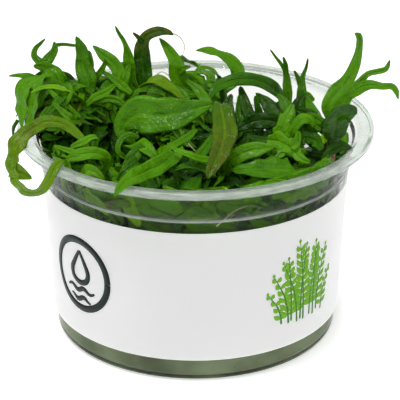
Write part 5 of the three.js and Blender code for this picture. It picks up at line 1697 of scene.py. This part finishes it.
# Single blades among the imported leaves, each with its tone, margin, tint and shape. A blade's place
# in the table is its seed, so a new one goes at the end.
# dark tones and low tints here are partly painted shade: blades in the shaded gaps, such as those right of
# the middle, get a darker green
STRAY_BLADES: tuple[tuple[Tone, Margin, float, Blade], ...] = (
    # left mass: broad overlapping sheets
    (FRESH, WAVY, 0.75, Blade(((-32.4, 0, 60.2), (-34.5, -2, 59.6), (-35.8, -4, 57.5), (-36.2, -5, 54.6),
        (-36.5, -6, 51.6), (-36.7, -7, 49.2)), (1.8, 4, 4.8, 4.4, 3.3, 1.3), (LEFT_UP, LEFT_UP))),
    (FRESH, WAVY, 0.6, Blade(((-29.6, 4, 56.8), (-31.8, 4, 58.7), (-34.2, 4, 60.4), (-36.3, 3, 61)),
        (2.2, 3.5, 2.9, 0.7))),
    (FRESH, WAVY, 0.55, Blade(((-27.1, -1, 54.4), (-29.7, -1, 56.8), (-32.3, -2, 58.1), (-34, -4, 57),
        (-34.6, -6, 54.5)), (1.3, 2.9, 3.1, 2.4, 0.9))),
    (FRESH, PLAIN, 0.45, Blade(((-28.7, -6, 51.6), (-30.4, -6, 53.5), (-32.1, -7, 53.9), (-33.7, -8, 52.4),
        (-34.3, -9, 50)), (1.1, 2.2, 2.6, 2.2, 0.9))),
    (FRESH, PLAIN, 0.85, Blade(((-32.6, -5, 58.8), (-30.5, -7, 57.3), (-28.9, -8, 55.8), (-28.1, -8, 53.9)),
        (0.7, 1.1, 0.9, 0.2))),
    (FRESH, PLAIN, 0.9, Blade(((-27.3, -5, 57.9), (-28.5, -7, 56.3), (-30.3, -8, 55.3), (-31.4, -8, 53.9)),
        (0.7, 1.1, 0.9, 0.2))),
    (FRESH, PLAIN, 0.8, Blade(((-25.5, -7, 52.5), (-27.7, -7, 54.9), (-29.5, -6, 56.4), (-31.7, -6, 57.1)),
        (0.7, 1.1, 0.9, 0.2))),
    (DARK, PLAIN, 0.5, Blade(((-39.3, -7, 52), (-40.1, -8, 50.8), (-40.4, -8, 49.1), (-40.1, -7, 47.2)),
        (0.9, 1.3, 1.1, 0.2), (LEFT, LEFT))),
    # between the spear and the crook
    (FRESH, PLAIN, 0.6, Blade(((-25.3, 7, 52.2), (-24.8, 8, 56.2), (-24.1, 8, 60), (-24, 8, 62.9)),
        (1.5, 2.9, 2.4, 0.9))),
    (FRESH, PLAIN, 0.7, Blade(((-24.5, 9, 54.3), (-22.4, 9, 56.3), (-20.8, 9, 58.7), (-20.3, 9, 60.6)),
        (0.9, 1.3, 1.3, 0.7))),
    (FRESH, PLAIN, 0.65, Blade(((-14.4, 6, 53.1), (-17.1, 7, 55.1), (-19.2, 8, 56.4), (-21.2, 9, 57.5)),
        (1.1, 2, 1.5, 0.7))),
    (FRESH, PLAIN, 0.75, Blade(((-27.9, 5, 53), (-26.1, 5, 55.4), (-23.9, 6, 54.8), (-20.7, 6, 53.6)),
        (0.9, 1.8, 1.5, 0.4), (UP, UP))),
    (FRESH, WAVY, 0.5, Blade(((-17.6, 5, 51), (-16.7, 7, 53.7), (-15.8, 8, 56.7), (-14.9, 9, 59.2)),
        (1.3, 2.4, 2, 0.9))),
    (FRESH, PLAIN, 0.8, Blade(((-25.1, 1, 51.7), (-22.8, 2, 53.7), (-20.2, 4, 54.3), (-18, 6, 55.5)),
        (0.9, 1.8, 1.8, 0.7))),
    (FRESH, PLAIN, 0.6, Blade(((-15.2, 2, 51.3), (-17.9, 3, 52.8), (-20.6, 3, 53.1), (-23.3, 2, 52.2)),
        (0.9, 1.8, 1.8, 0.4))),
    # behind and under the broad leaf
    (FRESH, CRUMPLED, 0.4, Blade(((-14.4, 4, 52.4), (-12.1, 4, 54.8), (-9.8, 4, 55.8), (-7.6, 3, 54.7)),
        (1.3, 2.6, 2.6, 0.9), (UP, UP))),
    (FRESH, PLAIN, 0.5, Blade(((-1.3, 4, 51.4), (-3.6, 6, 53.1), (-6.3, 7, 54.1), (-8.5, 8, 54.2)),
        (1.3, 2.6, 2.6, 1.1))),
    (FRESH, PLAIN, 0.6, Blade(((4.1, 0, 51.1), (1.9, 3, 53.3), (0.1, 5, 54.9), (-2.2, 7, 56.1)),
        (1.3, 2.2, 2, 0.7))),
    (FRESH, PLAIN, 0.45, Blade(((-12.5, -17, 52.1), (-14.6, -18, 53), (-16.3, -19, 52), (-16.8, -20, 50.3),
        (-15.5, -20, 48.7), (-13.6, -19, 48.3)), (0.9, 1.5, 1.3, 1.1, 1.1, 0.4))),
    (DARK, PLAIN, 0.8, Blade(((-9.5, -18, 47.6), (-12, -19, 49.9), (-13.7, -21, 48.9), (-15.9, -23, 46.9)),
        (1.1, 2.2, 2.6, 0.7))),
    (FRESH, PLAIN, 0.5, Blade(((0.1, -12, 51.7), (-2.5, -15, 50.6), (-5.1, -18, 50.4), (-7.7, -20, 48.9)),
        (1.3, 2.4, 2.2, 0.7), (UP, UP))),
    (FRESH, PLAIN, 0.35, Blade(((3.6, -14, 51.1), (2.2, -18, 50), (0.1, -22, 48.9), (-2.5, -25, 47.3)),
        (1.1, 2.2, 2.6, 0.9), (UP, UP))),
    (DARK, PLAIN, 0.9, Blade(((-5.5, -24, 46.9), (-2.1, -24, 48.3), (1.4, -24, 47.8), (4.3, -26, 46.8)),
        (0.9, 2, 2.4, 0.9), (UP, UP))),
    # right of the middle
    (DARK, PLAIN, 0.15, Blade(((9, -4, 47), (7.7, -2, 50), (7.2, 0, 52.6), (8.1, 2, 54.7)),
        (1.3, 2.6, 2.6, 0.9))),
    (DARK, PLAIN, 0.1, Blade(((14.8, -4, 47), (13, -2, 49.5), (11.3, 0, 52.1), (10.8, 2, 54.7)),
        (1.3, 2.6, 2.6, 1.1))),
    (DARK, PLAIN, 0.25, Blade(((19.2, -4, 47.4), (18, -1, 50.1), (16.2, 1, 52.2), (14.9, 3, 53.8)),
        (1.3, 3.1, 2.9, 1.1))),
    (FRESH, PLAIN, 0.3, Blade(((20.5, -6, 49.7), (21, -3, 51.8), (19.7, 0, 53.5), (18.4, 2, 54.7)),
        (1.3, 2.6, 2.4, 0.9))),
    (FRESH, PLAIN, 0.45, Blade(((27.1, -6, 48.8), (26.8, -3, 50.9), (25.6, 0, 52.6), (24.8, 3, 53.8)),
        (1.3, 2.4, 2, 0.7))),
    (FRESH, WAVY, 0.5, Blade(((28.8, -8, 50.5), (27, -8, 52.4), (24.7, -8, 53.2), (22.5, -9, 52.4)),
        (1.1, 2, 1.8, 0.7))),
    (DARK, CRUMPLED, 0.8, Blade(((27.6, -14, 47.8), (25.9, -13, 49.8), (23.7, -13, 50.2), (22.4, -14, 48.8)),
        (1.5, 2.9, 2.6, 0.9))),
    (DARK, PLAIN, 0.4, Blade(((34.4, -12, 47), (32.1, -13, 48.3), (29.8, -14, 47.8), (27.6, -16, 46.3)),
        (1.1, 2, 2, 0.9))),
    (DARK, PLAIN, 0.05, Blade(((12.7, 2, 45.9), (12, 3, 49.4), (10.9, 4, 52.4), (10, 4, 55.8)),
        (1.3, 2.6, 2.2, 0.9))),
    (DARK, PLAIN, 0.15, Blade(((16.7, -2, 46.1), (17.1, 0, 49.2), (18.7, 1, 51.7), (21.2, 2, 53.4)),
        (1.3, 3.1, 2.6, 0.9))),
    (DARK, WAVY, 0.2, Blade(((23.4, -2, 47.1), (22.5, 0, 49.9), (22.9, 1, 52.6), (24.5, 2, 54.7)),
        (1.3, 3.1, 2.6, 0.9))),
    (DARK, PLAIN, 0.25, Blade(((29.8, -6, 47.3), (27.7, -4, 49.8), (25.1, -2, 51.4), (22.4, -1, 52)),
        (1.3, 2.9, 2.6, 1.1))),
    (FRESH, PLAIN, 0.15, Blade(((10.8, -2, 47.3), (14.4, -3, 48.5), (17.2, -3, 50.2), (19, -2, 52.2)),
        (0.9, 1.3, 1.3, 0.9))),
    (DARK, WAVY, 0, Blade(((9, -5, 48.8), (12.5, -5, 50.7), (16.5, -5, 51), (21.4, -5, 49.8)),
        (1.3, 3.3, 3.3, 1.3))),
    (DARK, WAVY, 0.05, Blade(((15.5, 4, 48), (18.1, 4, 49.3), (21.3, 4, 49.7), (24.4, 3, 49.2)),
        (1.1, 3.1, 3.3, 1.3))),
    (DARK, PLAIN, 0.2, Blade(((27, -10, 46.1), (25.5, -9, 48.6), (24.1, -8, 50.8), (23, -7, 52.7)),
        (1.3, 3.3, 3.1, 1.1))),
    (DARK, PLAIN, 0.3, Blade(((17.5, -14, 49.7), (14.5, -12, 49.3), (12, -10, 49), (9.8, -10, 48)),
        (1.1, 2.2, 2, 0.7), (UP, UP))),
    # pressed to the inside of the wall, over the label; some of the tips sink into it. Their pale green and
    # tints over 1 are painted light, for the light that reaches them through the wall.
    (PALE, PLAIN, 1.3, Blade(((-1.5, -33.6, 40.4), (3.6, -33.4, 42.6), (8.6, -32.5, 43.2), (13, -31, 41.2)),
        (1.6, 5, 5.4, 4, 1), ((0, -1, 0), (0.25, -0.97, 0), (0.4, -0.92, 0)), fold=0.05)),
    (PALE, PLAIN, 1.2, Blade(((-14.4, -30.6, 44.6), (-13.6, -30.8, 41), (-12, -31.4, 37.4)),
        (1.5, 3.4, 3.2, 1.2), ((-0.4, -0.92, 0), (-0.4, -0.92, 0)), fold=0.05)),
    (PALE, WAVY, 0.7, Blade(((16, -29.8, 41.2), (20.2, -27.2, 43.2), (24, -23.9, 42.4), (26.4, -21, 40.6)),
        (1.2, 3.8, 4, 2.6, 0.8), ((0.5, -0.87, 0), (0.75, -0.66, 0)), fold=0.05)),
    (PALE, WAVY, 1.1, Blade(((-25, -22.8, 43.6), (-21.6, -26, 41.6), (-18.6, -28.2, 38.6)), (1.2, 3.2, 3, 1),
        ((-0.72, -0.7, 0), (-0.6, -0.8, 0)), fold=0.05)),
    (PALE, PLAIN, 1.0, Blade(((-30.6, -13.6, 44.4), (-28.6, -17.4, 42.2), (-27, -19.6, 39.4)),
        (1.2, 3.4, 3.2, 1), ((-0.9, -0.42, 0), (-0.82, -0.57, 0)), fold=0.05)),
)


@dataclass(frozen=True)
class PackedLeaves:
    """The leaves that fill the cup: a tall inner crowd, a layer on the wall and patches on top.

    Attributes:
        mat_radius, mat_low, mat_high: radius and heights of the mat of leaf bases on the gel.
        inner_count, wall_count: leaves of the inner crowd and on the wall.
        shape: how the stray blades are built.
        canopy, pocket: the height that the leaves keep under and the part that they leave empty.
        clumps: the patches.
    """

    # seeds of the inner and the wall crowd, and of the first row of each table
    INNER_SEED, WALL_SEED = 41, 77
    CLUMP_SEED, LOBE_SEED, BLADE_SEED = 100, 300, 700

    mat_radius: float = 28.5
    mat_low: float = 6.8
    mat_high: float = 9.4
    inner_count: int = 230
    wall_count: int = 230
    shape: BladeShape = BladeShape()
    canopy: Canopy = Canopy()
    pocket: FreePocket = FreePocket()
    clumps: tuple[Clump, ...] = (
        # the dark patches sit deeper under the canopy than the fresh ones; their dark green is painted shade
        # of the tangle
        # over the left rim
        Clump((-31, 3), (6, 8), (-2.5, 2), 34, (8, 12), (3.0, 4.8), 0.15, FRESH),
        Clump((-30, 0), (6, 7), (-3, 0), 12, (8, 12), (1.4, 2.2), 0.25, FRESH, 5),
        Clump((-22, 10), (7, 7), (-2, 2.5), 34, (8, 13), (1.8, 3.0), 0.35, FRESH),
        Clump((-20, 9), (6, 6), (-2.5, 0), 12, (8, 12), (1.2, 2.0), 0.35, FRESH, 5),
        Clump((-27, 0), (9, 12), (4, 8), 30, (9, 14), (3.4, 5.4), 0.0, DARK),
        Clump((-20, -4), (8, 8), (3.5, 8), 26, (9, 15), (2.8, 4.8), 0.0, DARK),
        Clump((-34, -10), (4, 7), (1, 5), 20, (6, 10), (2.0, 3.6), 0.0, DARK),
        Clump((-25, 18), (8, 7), (0, 5), 34, (7, 12), (2.0, 3.6), 0.1, FRESH),
        # middle and back
        Clump((-13, 8), (6, 6), (-2, 2), 26, (8, 12), (1.6, 2.8), 0.35, FRESH),
        Clump((-4, 8), (8, 7), (-1.5, 2.5), 34, (8, 13), (1.6, 2.8), 0.3, FRESH),
        Clump((-5, 7), (7, 6), (-2, 0.5), 8, (8, 12), (1.2, 2.0), 0.3, FRESH, 4),
        Clump((-2, 2), (12, 10), (3, 7), 60, (8, 13), (2.4, 4.0), 0.0, DARK),
        Clump((11, -2), (9, 7), (-1.5, 4), 60, (8, 13), (2.0, 3.6), 0.2, DARK),
        Clump((25, 3), (7, 4), (0, 5), 26, (7, 11), (1.8, 3.2), 0.2, DARK),
        Clump((-4, 25), (13, 6), (0, 4), 46, (8, 12), (2.0, 3.6), 0.1, FRESH),
        # front
        Clump((0, -14), (14, 10), (1, 6), 44, (10, 18), (2.4, 4.4), 0.05, DARK),
        Clump((-4, -20), (14, 7), (-0.5, 2.5), 16, (10, 17), (1.8, 3.2), 0.1, FRESH),
        Clump((6, -27), (16, 5), (0, 3.5), 28, (10, 17), (2.8, 4.8), 0.0, DARK),
        Clump((-18, -19), (9, 8), (1, 5), 34, (8, 15), (1.8, 3.6), 0.05, DARK),
        Clump((-17, -20), (8, 6), (0, 2), 12, (7, 11), (1.2, 2.0), 0.15, FRESH, 3),
        # right
        Clump((20, -14), (8, 8), (0.5, 4), 26, (6, 11), (1.6, 2.8), 0.15, DARK, 4),
        Clump((22, -15), (6, 6), (0, 2), 9, (6, 10), (1.3, 2.0), 0.25, FRESH, 5),
        Clump((30, -6), (4, 9), (1, 5), 24, (6, 10), (2.0, 3.4), 0.0, DARK),
    )

    def mat(self) -> Skin:
        """The matted leaf bases on the gel: a low lumpy disc."""
        r, low, high = self.mat_radius, self.mat_low, self.mat_high
        under = [(0.6, low), (r * 0.5, low), (r, low), (r + 1, low + 1)]
        over = [(r - 1, high), (r * 0.7, high), (r * 0.35, high), (0.6, high)]
        rings = turned(np.array(under + over), segments=72)
        rings[..., 2] += 0.5 * lumps(rings, size=7.0, seed=3) * (rings[..., 2] > low + 0.5)
        return Skin(rings, marks_over(rings.shape[:3], across=0.5, along=0.0, tint=0.3, rust=0.4))

    def inner_crowd(self) -> LeafCrowd:
        """Leaves that rise from the mat, on a sunflower plan, and end a little under the canopy."""
        draw = np.random.default_rng(self.INNER_SEED)
        n = self.inner_count
        number = np.arange(n)
        turn = number * GOLDEN_ANGLE
        radius = 29.0 * np.sqrt((number + 0.5) / n)
        base = polar(turn, radius, self.mat_high - 0.6)
        top = self.canopy.height(base[:, 0] * 1.1, base[:, 1] * 1.1) - draw.uniform(1, 6, n)
        lean = unit(polar(turn, 1.0, 0.0) + draw.normal(size=(n, 3)) * 0.5)
        heading = unit(np.array((0, 0, 1.0)) + lean * np.array((0.12, 0.12, 0)))
        return LeafCrowd(
            base=base,
            heading=heading,
            face=unit(-lean + draw.normal(size=(n, 3)) * 0.4),
            length=top - base[:, 2],
            width=draw.uniform(5, 9, n),
            bend=draw.uniform(-0.02, 0.14, n),
            sway=draw.normal(size=n) * 0.03,
            twist=draw.normal(size=n) * 0.5,
            tint=draw.uniform(0, 0.9, n),
        )

    def wall_crowd(self, cup: Cup) -> LeafCrowd:
        """Leaves pressed flat on the inside of the wall, from under the label's top to the flange."""
        draw = np.random.default_rng(self.WALL_SEED)
        n = self.wall_count
        turn = draw.uniform(0, 2 * math.pi, n)
        height = draw.uniform(35.5, 44.5, n)
        radius = cup.outer_radius(height) - cup.wall - draw.uniform(0.2, 1.8, n)
        round_way = np.stack((-np.sin(turn), np.cos(turn), np.zeros(n)), -1)
        slope = draw.uniform(-1.1, 1.3, n)[:, None]
        heading = unit(round_way * np.sign(draw.normal(size=n))[:, None] + np.array((0, 0, 1.0)) * slope)
        return LeafCrowd(
            base=polar(turn, radius, height),
            heading=heading,
            face=unit(polar(turn, 1.0, 0.0) + draw.normal(size=(n, 3)) * 0.25),
            length=draw.uniform(7, 14, n),
            width=draw.uniform(2.4, 5.5, n),
            bend=draw.uniform(0.0, 0.25, n),
            sway=draw.normal(size=n) * 0.1,
            twist=draw.normal(size=n) * 0.3,
            # painted light: tints up to 1.6 make these leaves lighter, standing for the light that reaches
            # them through the wall
            tint=draw.uniform(0.6, 1.6, n),
        )

    def kept(self, crowd: LeafCrowd) -> LeafCrowd:
        """Drops the leaves whose base or tip lies in the free pocket."""
        tips = crowd.base + unit(crowd.heading) * crowd.length[:, None]
        stay = ~(self.pocket.holds(crowd.base) | self.pocket.holds(tips))
        return LeafCrowd(**{item.name: getattr(crowd, item.name)[stay] for item in fields(crowd)})

    def tufts(self, tone: Tone, cup: Cup) -> list[Skin]:
        """The clumps of one tone with their side lobes, then the stray blades of that tone."""
        skins = []
        for number, clump in enumerate(self.clumps):
            if clump.tone is tone:
                crowd = self.kept(clump.crowd(self.CLUMP_SEED + number, self.canopy))
                skins.append(crowd.skin(cup, self.canopy))
                if clump.lobes:
                    lobes = crowd.lobes(clump.lobes, self.LOBE_SEED + number)
                    skins.append(lobes.skin(cup, self.canopy))
        for number, (own, margin, tint, blade) in enumerate(STRAY_BLADES):
            if own is tone:
                seed = self.BLADE_SEED + number
                skins.append(self.shape.skin(blade, margin, (0.0, 0.1), tint, seed, forked=False))
        return skins

    def build(self, cup: Cup, finishes: Finishes) -> None:
        """Makes the mat, the inner crowd, the layer on the wall and the tufts on top."""
        inner = self.kept(self.inner_crowd()).skin(cup, self.canopy)
        wall = self.kept(self.wall_crowd(cup)).skin(cup, self.canopy)
        # painted shade: the mat and the inner crowd take the dark green, which stands for the shade deep
        # inside the cup
        pieces = [("mat", [self.mat()], DARK), ("inner_leaves", [inner], DARK)]
        pieces.append(("wall_leaves", [wall], FRESH))
        for tone in (FRESH, DARK, PALE):
            pieces.append(("tufts_" + tone.name.lower(), self.tufts(tone, cup), tone))
        for name, skins, tone in pieces:
            make_piece("packed_" + name, skins, finishes.leaf[tone], ("packed_leaves",))


@dataclass(frozen=True)
class HairRoots:
    """Fine pale hair roots among the leaves; the last one climbs the wall, its root sunk in it.

    Attributes:
        routes: points of each hair.
        radius: radius at its root.
    """

    routes: tuple[tuple[Point, ...], ...] = (
        ((-5, 16, 64), (-3.5, 16, 63), (-2.5, 15.5, 61), (-3, 15, 59)),
        ((-9.5, 9, 55.5), (-8, 8.6, 57.4), (-6.6, 8.2, 57.2), (-5.6, 8, 55.6)),
        ((16.4, 13, 52.4), (15.6, 13, 54.6), (14.4, 12.6, 55.8)),
        ((-1.6, -17, 50.6), (-0.4, -17.6, 49.4), (0.6, -18, 48.4)),
        ((4.4, -33.9, 38.6), (8.4, -33.1, 42.0), (12.0, -31.9, 42.6), (14.0, -31.0, 41.3)),
    )
    radius: float = 0.15

    def skin(self, route: tuple[Point, ...], tint: float) -> Skin:
        """One hair: a six-sided section that thins to its tip."""
        line = Course(route)
        shares = np.linspace(0, 1, max(16, int(line.length / 0.4)))
        turn = np.linspace(0, 2 * math.pi, 6, endpoint=False)
        radius = self.radius * (1 - 0.55 * shares)[:, None]
        rings = tube(line, shares, (0.2, 1.0, 0.3), turn, radius)[None]
        along = (shares * line.length)[:, None]
        return Skin(rings, marks_over(rings.shape[:3], across=0.3, along=along, tint=tint, rust=0.6))

    def build(self, finishes: Finishes) -> None:
        """Makes the hairs as one piece."""
        last = len(self.routes) - 1
        skins = [self.skin(route, number / last) for number, route in enumerate(self.routes)]
        make_piece("hair_roots", skins, finishes.root_hair)


# ---------------------------------------------------------------- Studio


@dataclass(frozen=True)
class Studio:
    """A white table in a white room, soft lamps and the camera.

    Attributes:
        camera_place, camera_aim: where the camera stands and looks.
        lens: its focal length.
        floor_half: half width of the table.
        floor_glow: light that the table gives off, so that it stays white.
        backdrop: brightness of the room where it is seen, also through the plastic.
        room_low, room_high: its brightness as light on surfaces, from below and from above.
        room_gloss: its brightness in reflections.
        lamp_aim: where the lamps look.
        lamps: for each lamp its name, place, width and power in watts.
    """

    camera_place: Point = (0.0, -454.2, 234.1)
    camera_aim: Point = (0.98, 1.71, 28.72)
    lens: float = 196.5
    floor_half: float = 1600.0
    floor_glow: float = 0.40
    backdrop: float = 1.02
    room_low: float = 0.22
    room_high: float = 0.86
    room_gloss: float = 0.24
    lamp_aim: Point = (0.0, 0.0, 45.0)
    lamps: tuple[tuple[str, Point, float, float], ...] = (
        ("lamp_high", (-180, -160, 620), 140, 1.9),
        ("lamp_side", (420, -260, 380), 90, 0.4),
        ("lamp_front", (-60, -520, 420), 60, 0.55),
    )

    def room(self) -> None:
        """White to the camera and through the plastic, and dimmer as light on the surfaces."""
        world = bpy.data.worlds.new("white_room")
        bpy.context.scene.world = world
        world.use_nodes = True
        tree = world.node_tree

        def ramp(share: bpy.types.NodeSocket, start: object, end: object) -> bpy.types.NodeSocket:
            """Goes from start to end as share goes from 0 to 1."""
            node = tree.nodes.new("ShaderNodeMapRange")
            tree.links.new(share, node.inputs["Value"])
            for socket, value in ((node.inputs["To Min"], start), (node.inputs["To Max"], end)):
                if isinstance(value, float):
                    socket.default_value = value
                else:
                    tree.links.new(value, socket)
            return node.outputs[0]

        path = tree.nodes.new("ShaderNodeLightPath").outputs
        way = tree.nodes.new("ShaderNodeSeparateXYZ")
        tree.links.new(tree.nodes.new("ShaderNodeTexCoord").outputs["Generated"], way.inputs[0])
        as_light = ramp(way.outputs["Z"], self.room_low, self.room_high)
        as_seen = ramp(path["Glossy Depth"], self.backdrop, self.room_gloss)
        back = tree.nodes["Background"]
        back.inputs["Color"].default_value = (1, 1, 1, 1)
        tree.links.new(ramp(path["Diffuse Depth"], as_seen, as_light), back.inputs["Strength"])

    def floor(self) -> None:
        """A matt white table top just under the cup."""
        half = self.floor_half * MM
        corners = [(-half, -half, 0), (half, -half, 0), (half, half, 0), (-half, half, 0)]
        mesh = bpy.data.meshes.new("table_top")
        mesh.from_pydata(corners, [], [(0, 1, 2, 3)])
        white = Graph("white_table").dress(
            Base_Color=(0.9, 0.9, 0.9),
            Roughness=0.6,
            Specular_IOR_Level=0.2,
            Emission_Color=(1.0, 1.0, 1.0),
            Emission_Strength=self.floor_glow,
        )
        mesh.materials.append(white)
        table = bpy.data.objects.new("table_top", mesh)
        bpy.context.scene.collection.objects.link(table)

    def lamp(self, name: str, place: Point, size: float, power: float) -> None:
        """A square soft lamp that looks at the plant."""
        data = bpy.data.lights.new(name, "AREA")
        data.shape = "SQUARE"
        data.size = size * MM
        data.energy = power
        lamp = bpy.data.objects.new(name, data)
        lamp.location = Vector(place) * MM
        lamp.rotation_euler = (Vector(self.lamp_aim) - Vector(place)).to_track_quat("-Z", "Y").to_euler()
        bpy.context.scene.collection.objects.link(lamp)

    def camera(self) -> None:
        """The camera, a long lens a little above the rim."""
        data = bpy.data.cameras.new("camera")
        data.lens = self.lens
        data.sensor_width = 36.0
        data.clip_start = 0.01
        data.clip_end = 20.0
        camera = bpy.data.objects.new("camera", data)
        place, aim = Vector(self.camera_place), Vector(self.camera_aim)
        camera.location = place * MM
        camera.rotation_euler = (aim - place).to_track_quat("-Z", "Y").to_euler()
        bpy.context.scene.collection.objects.link(camera)
        bpy.context.scene.camera = camera

    def build(self) -> None:
        """Sets up the room, table, lamps and camera, and plain colour output."""
        scene = bpy.context.scene
        scene.view_settings.view_transform = "Standard"
        scene.view_settings.look = "None"
        self.room()
        self.floor()
        for name, place, size, power in self.lamps:
            self.lamp(name, place, size, power)
        self.camera()


def main() -> None:
    """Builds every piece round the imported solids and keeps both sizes."""
    logging.basicConfig(level=logging.INFO, format="%(name)s: %(message)s")
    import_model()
    Studio().build()
    finishes = Finishes()
    cup = Cup()
    cup.build(finishes)
    Label().build(cup, finishes)
    Gel().build(cup, finishes)
    Stems().build(finishes)
    LargeLeaves().build(finishes)
    PackedLeaves().build(cup, finishes)
    HairRoots().build(finishes)


if __name__ == "__main__":
    main()
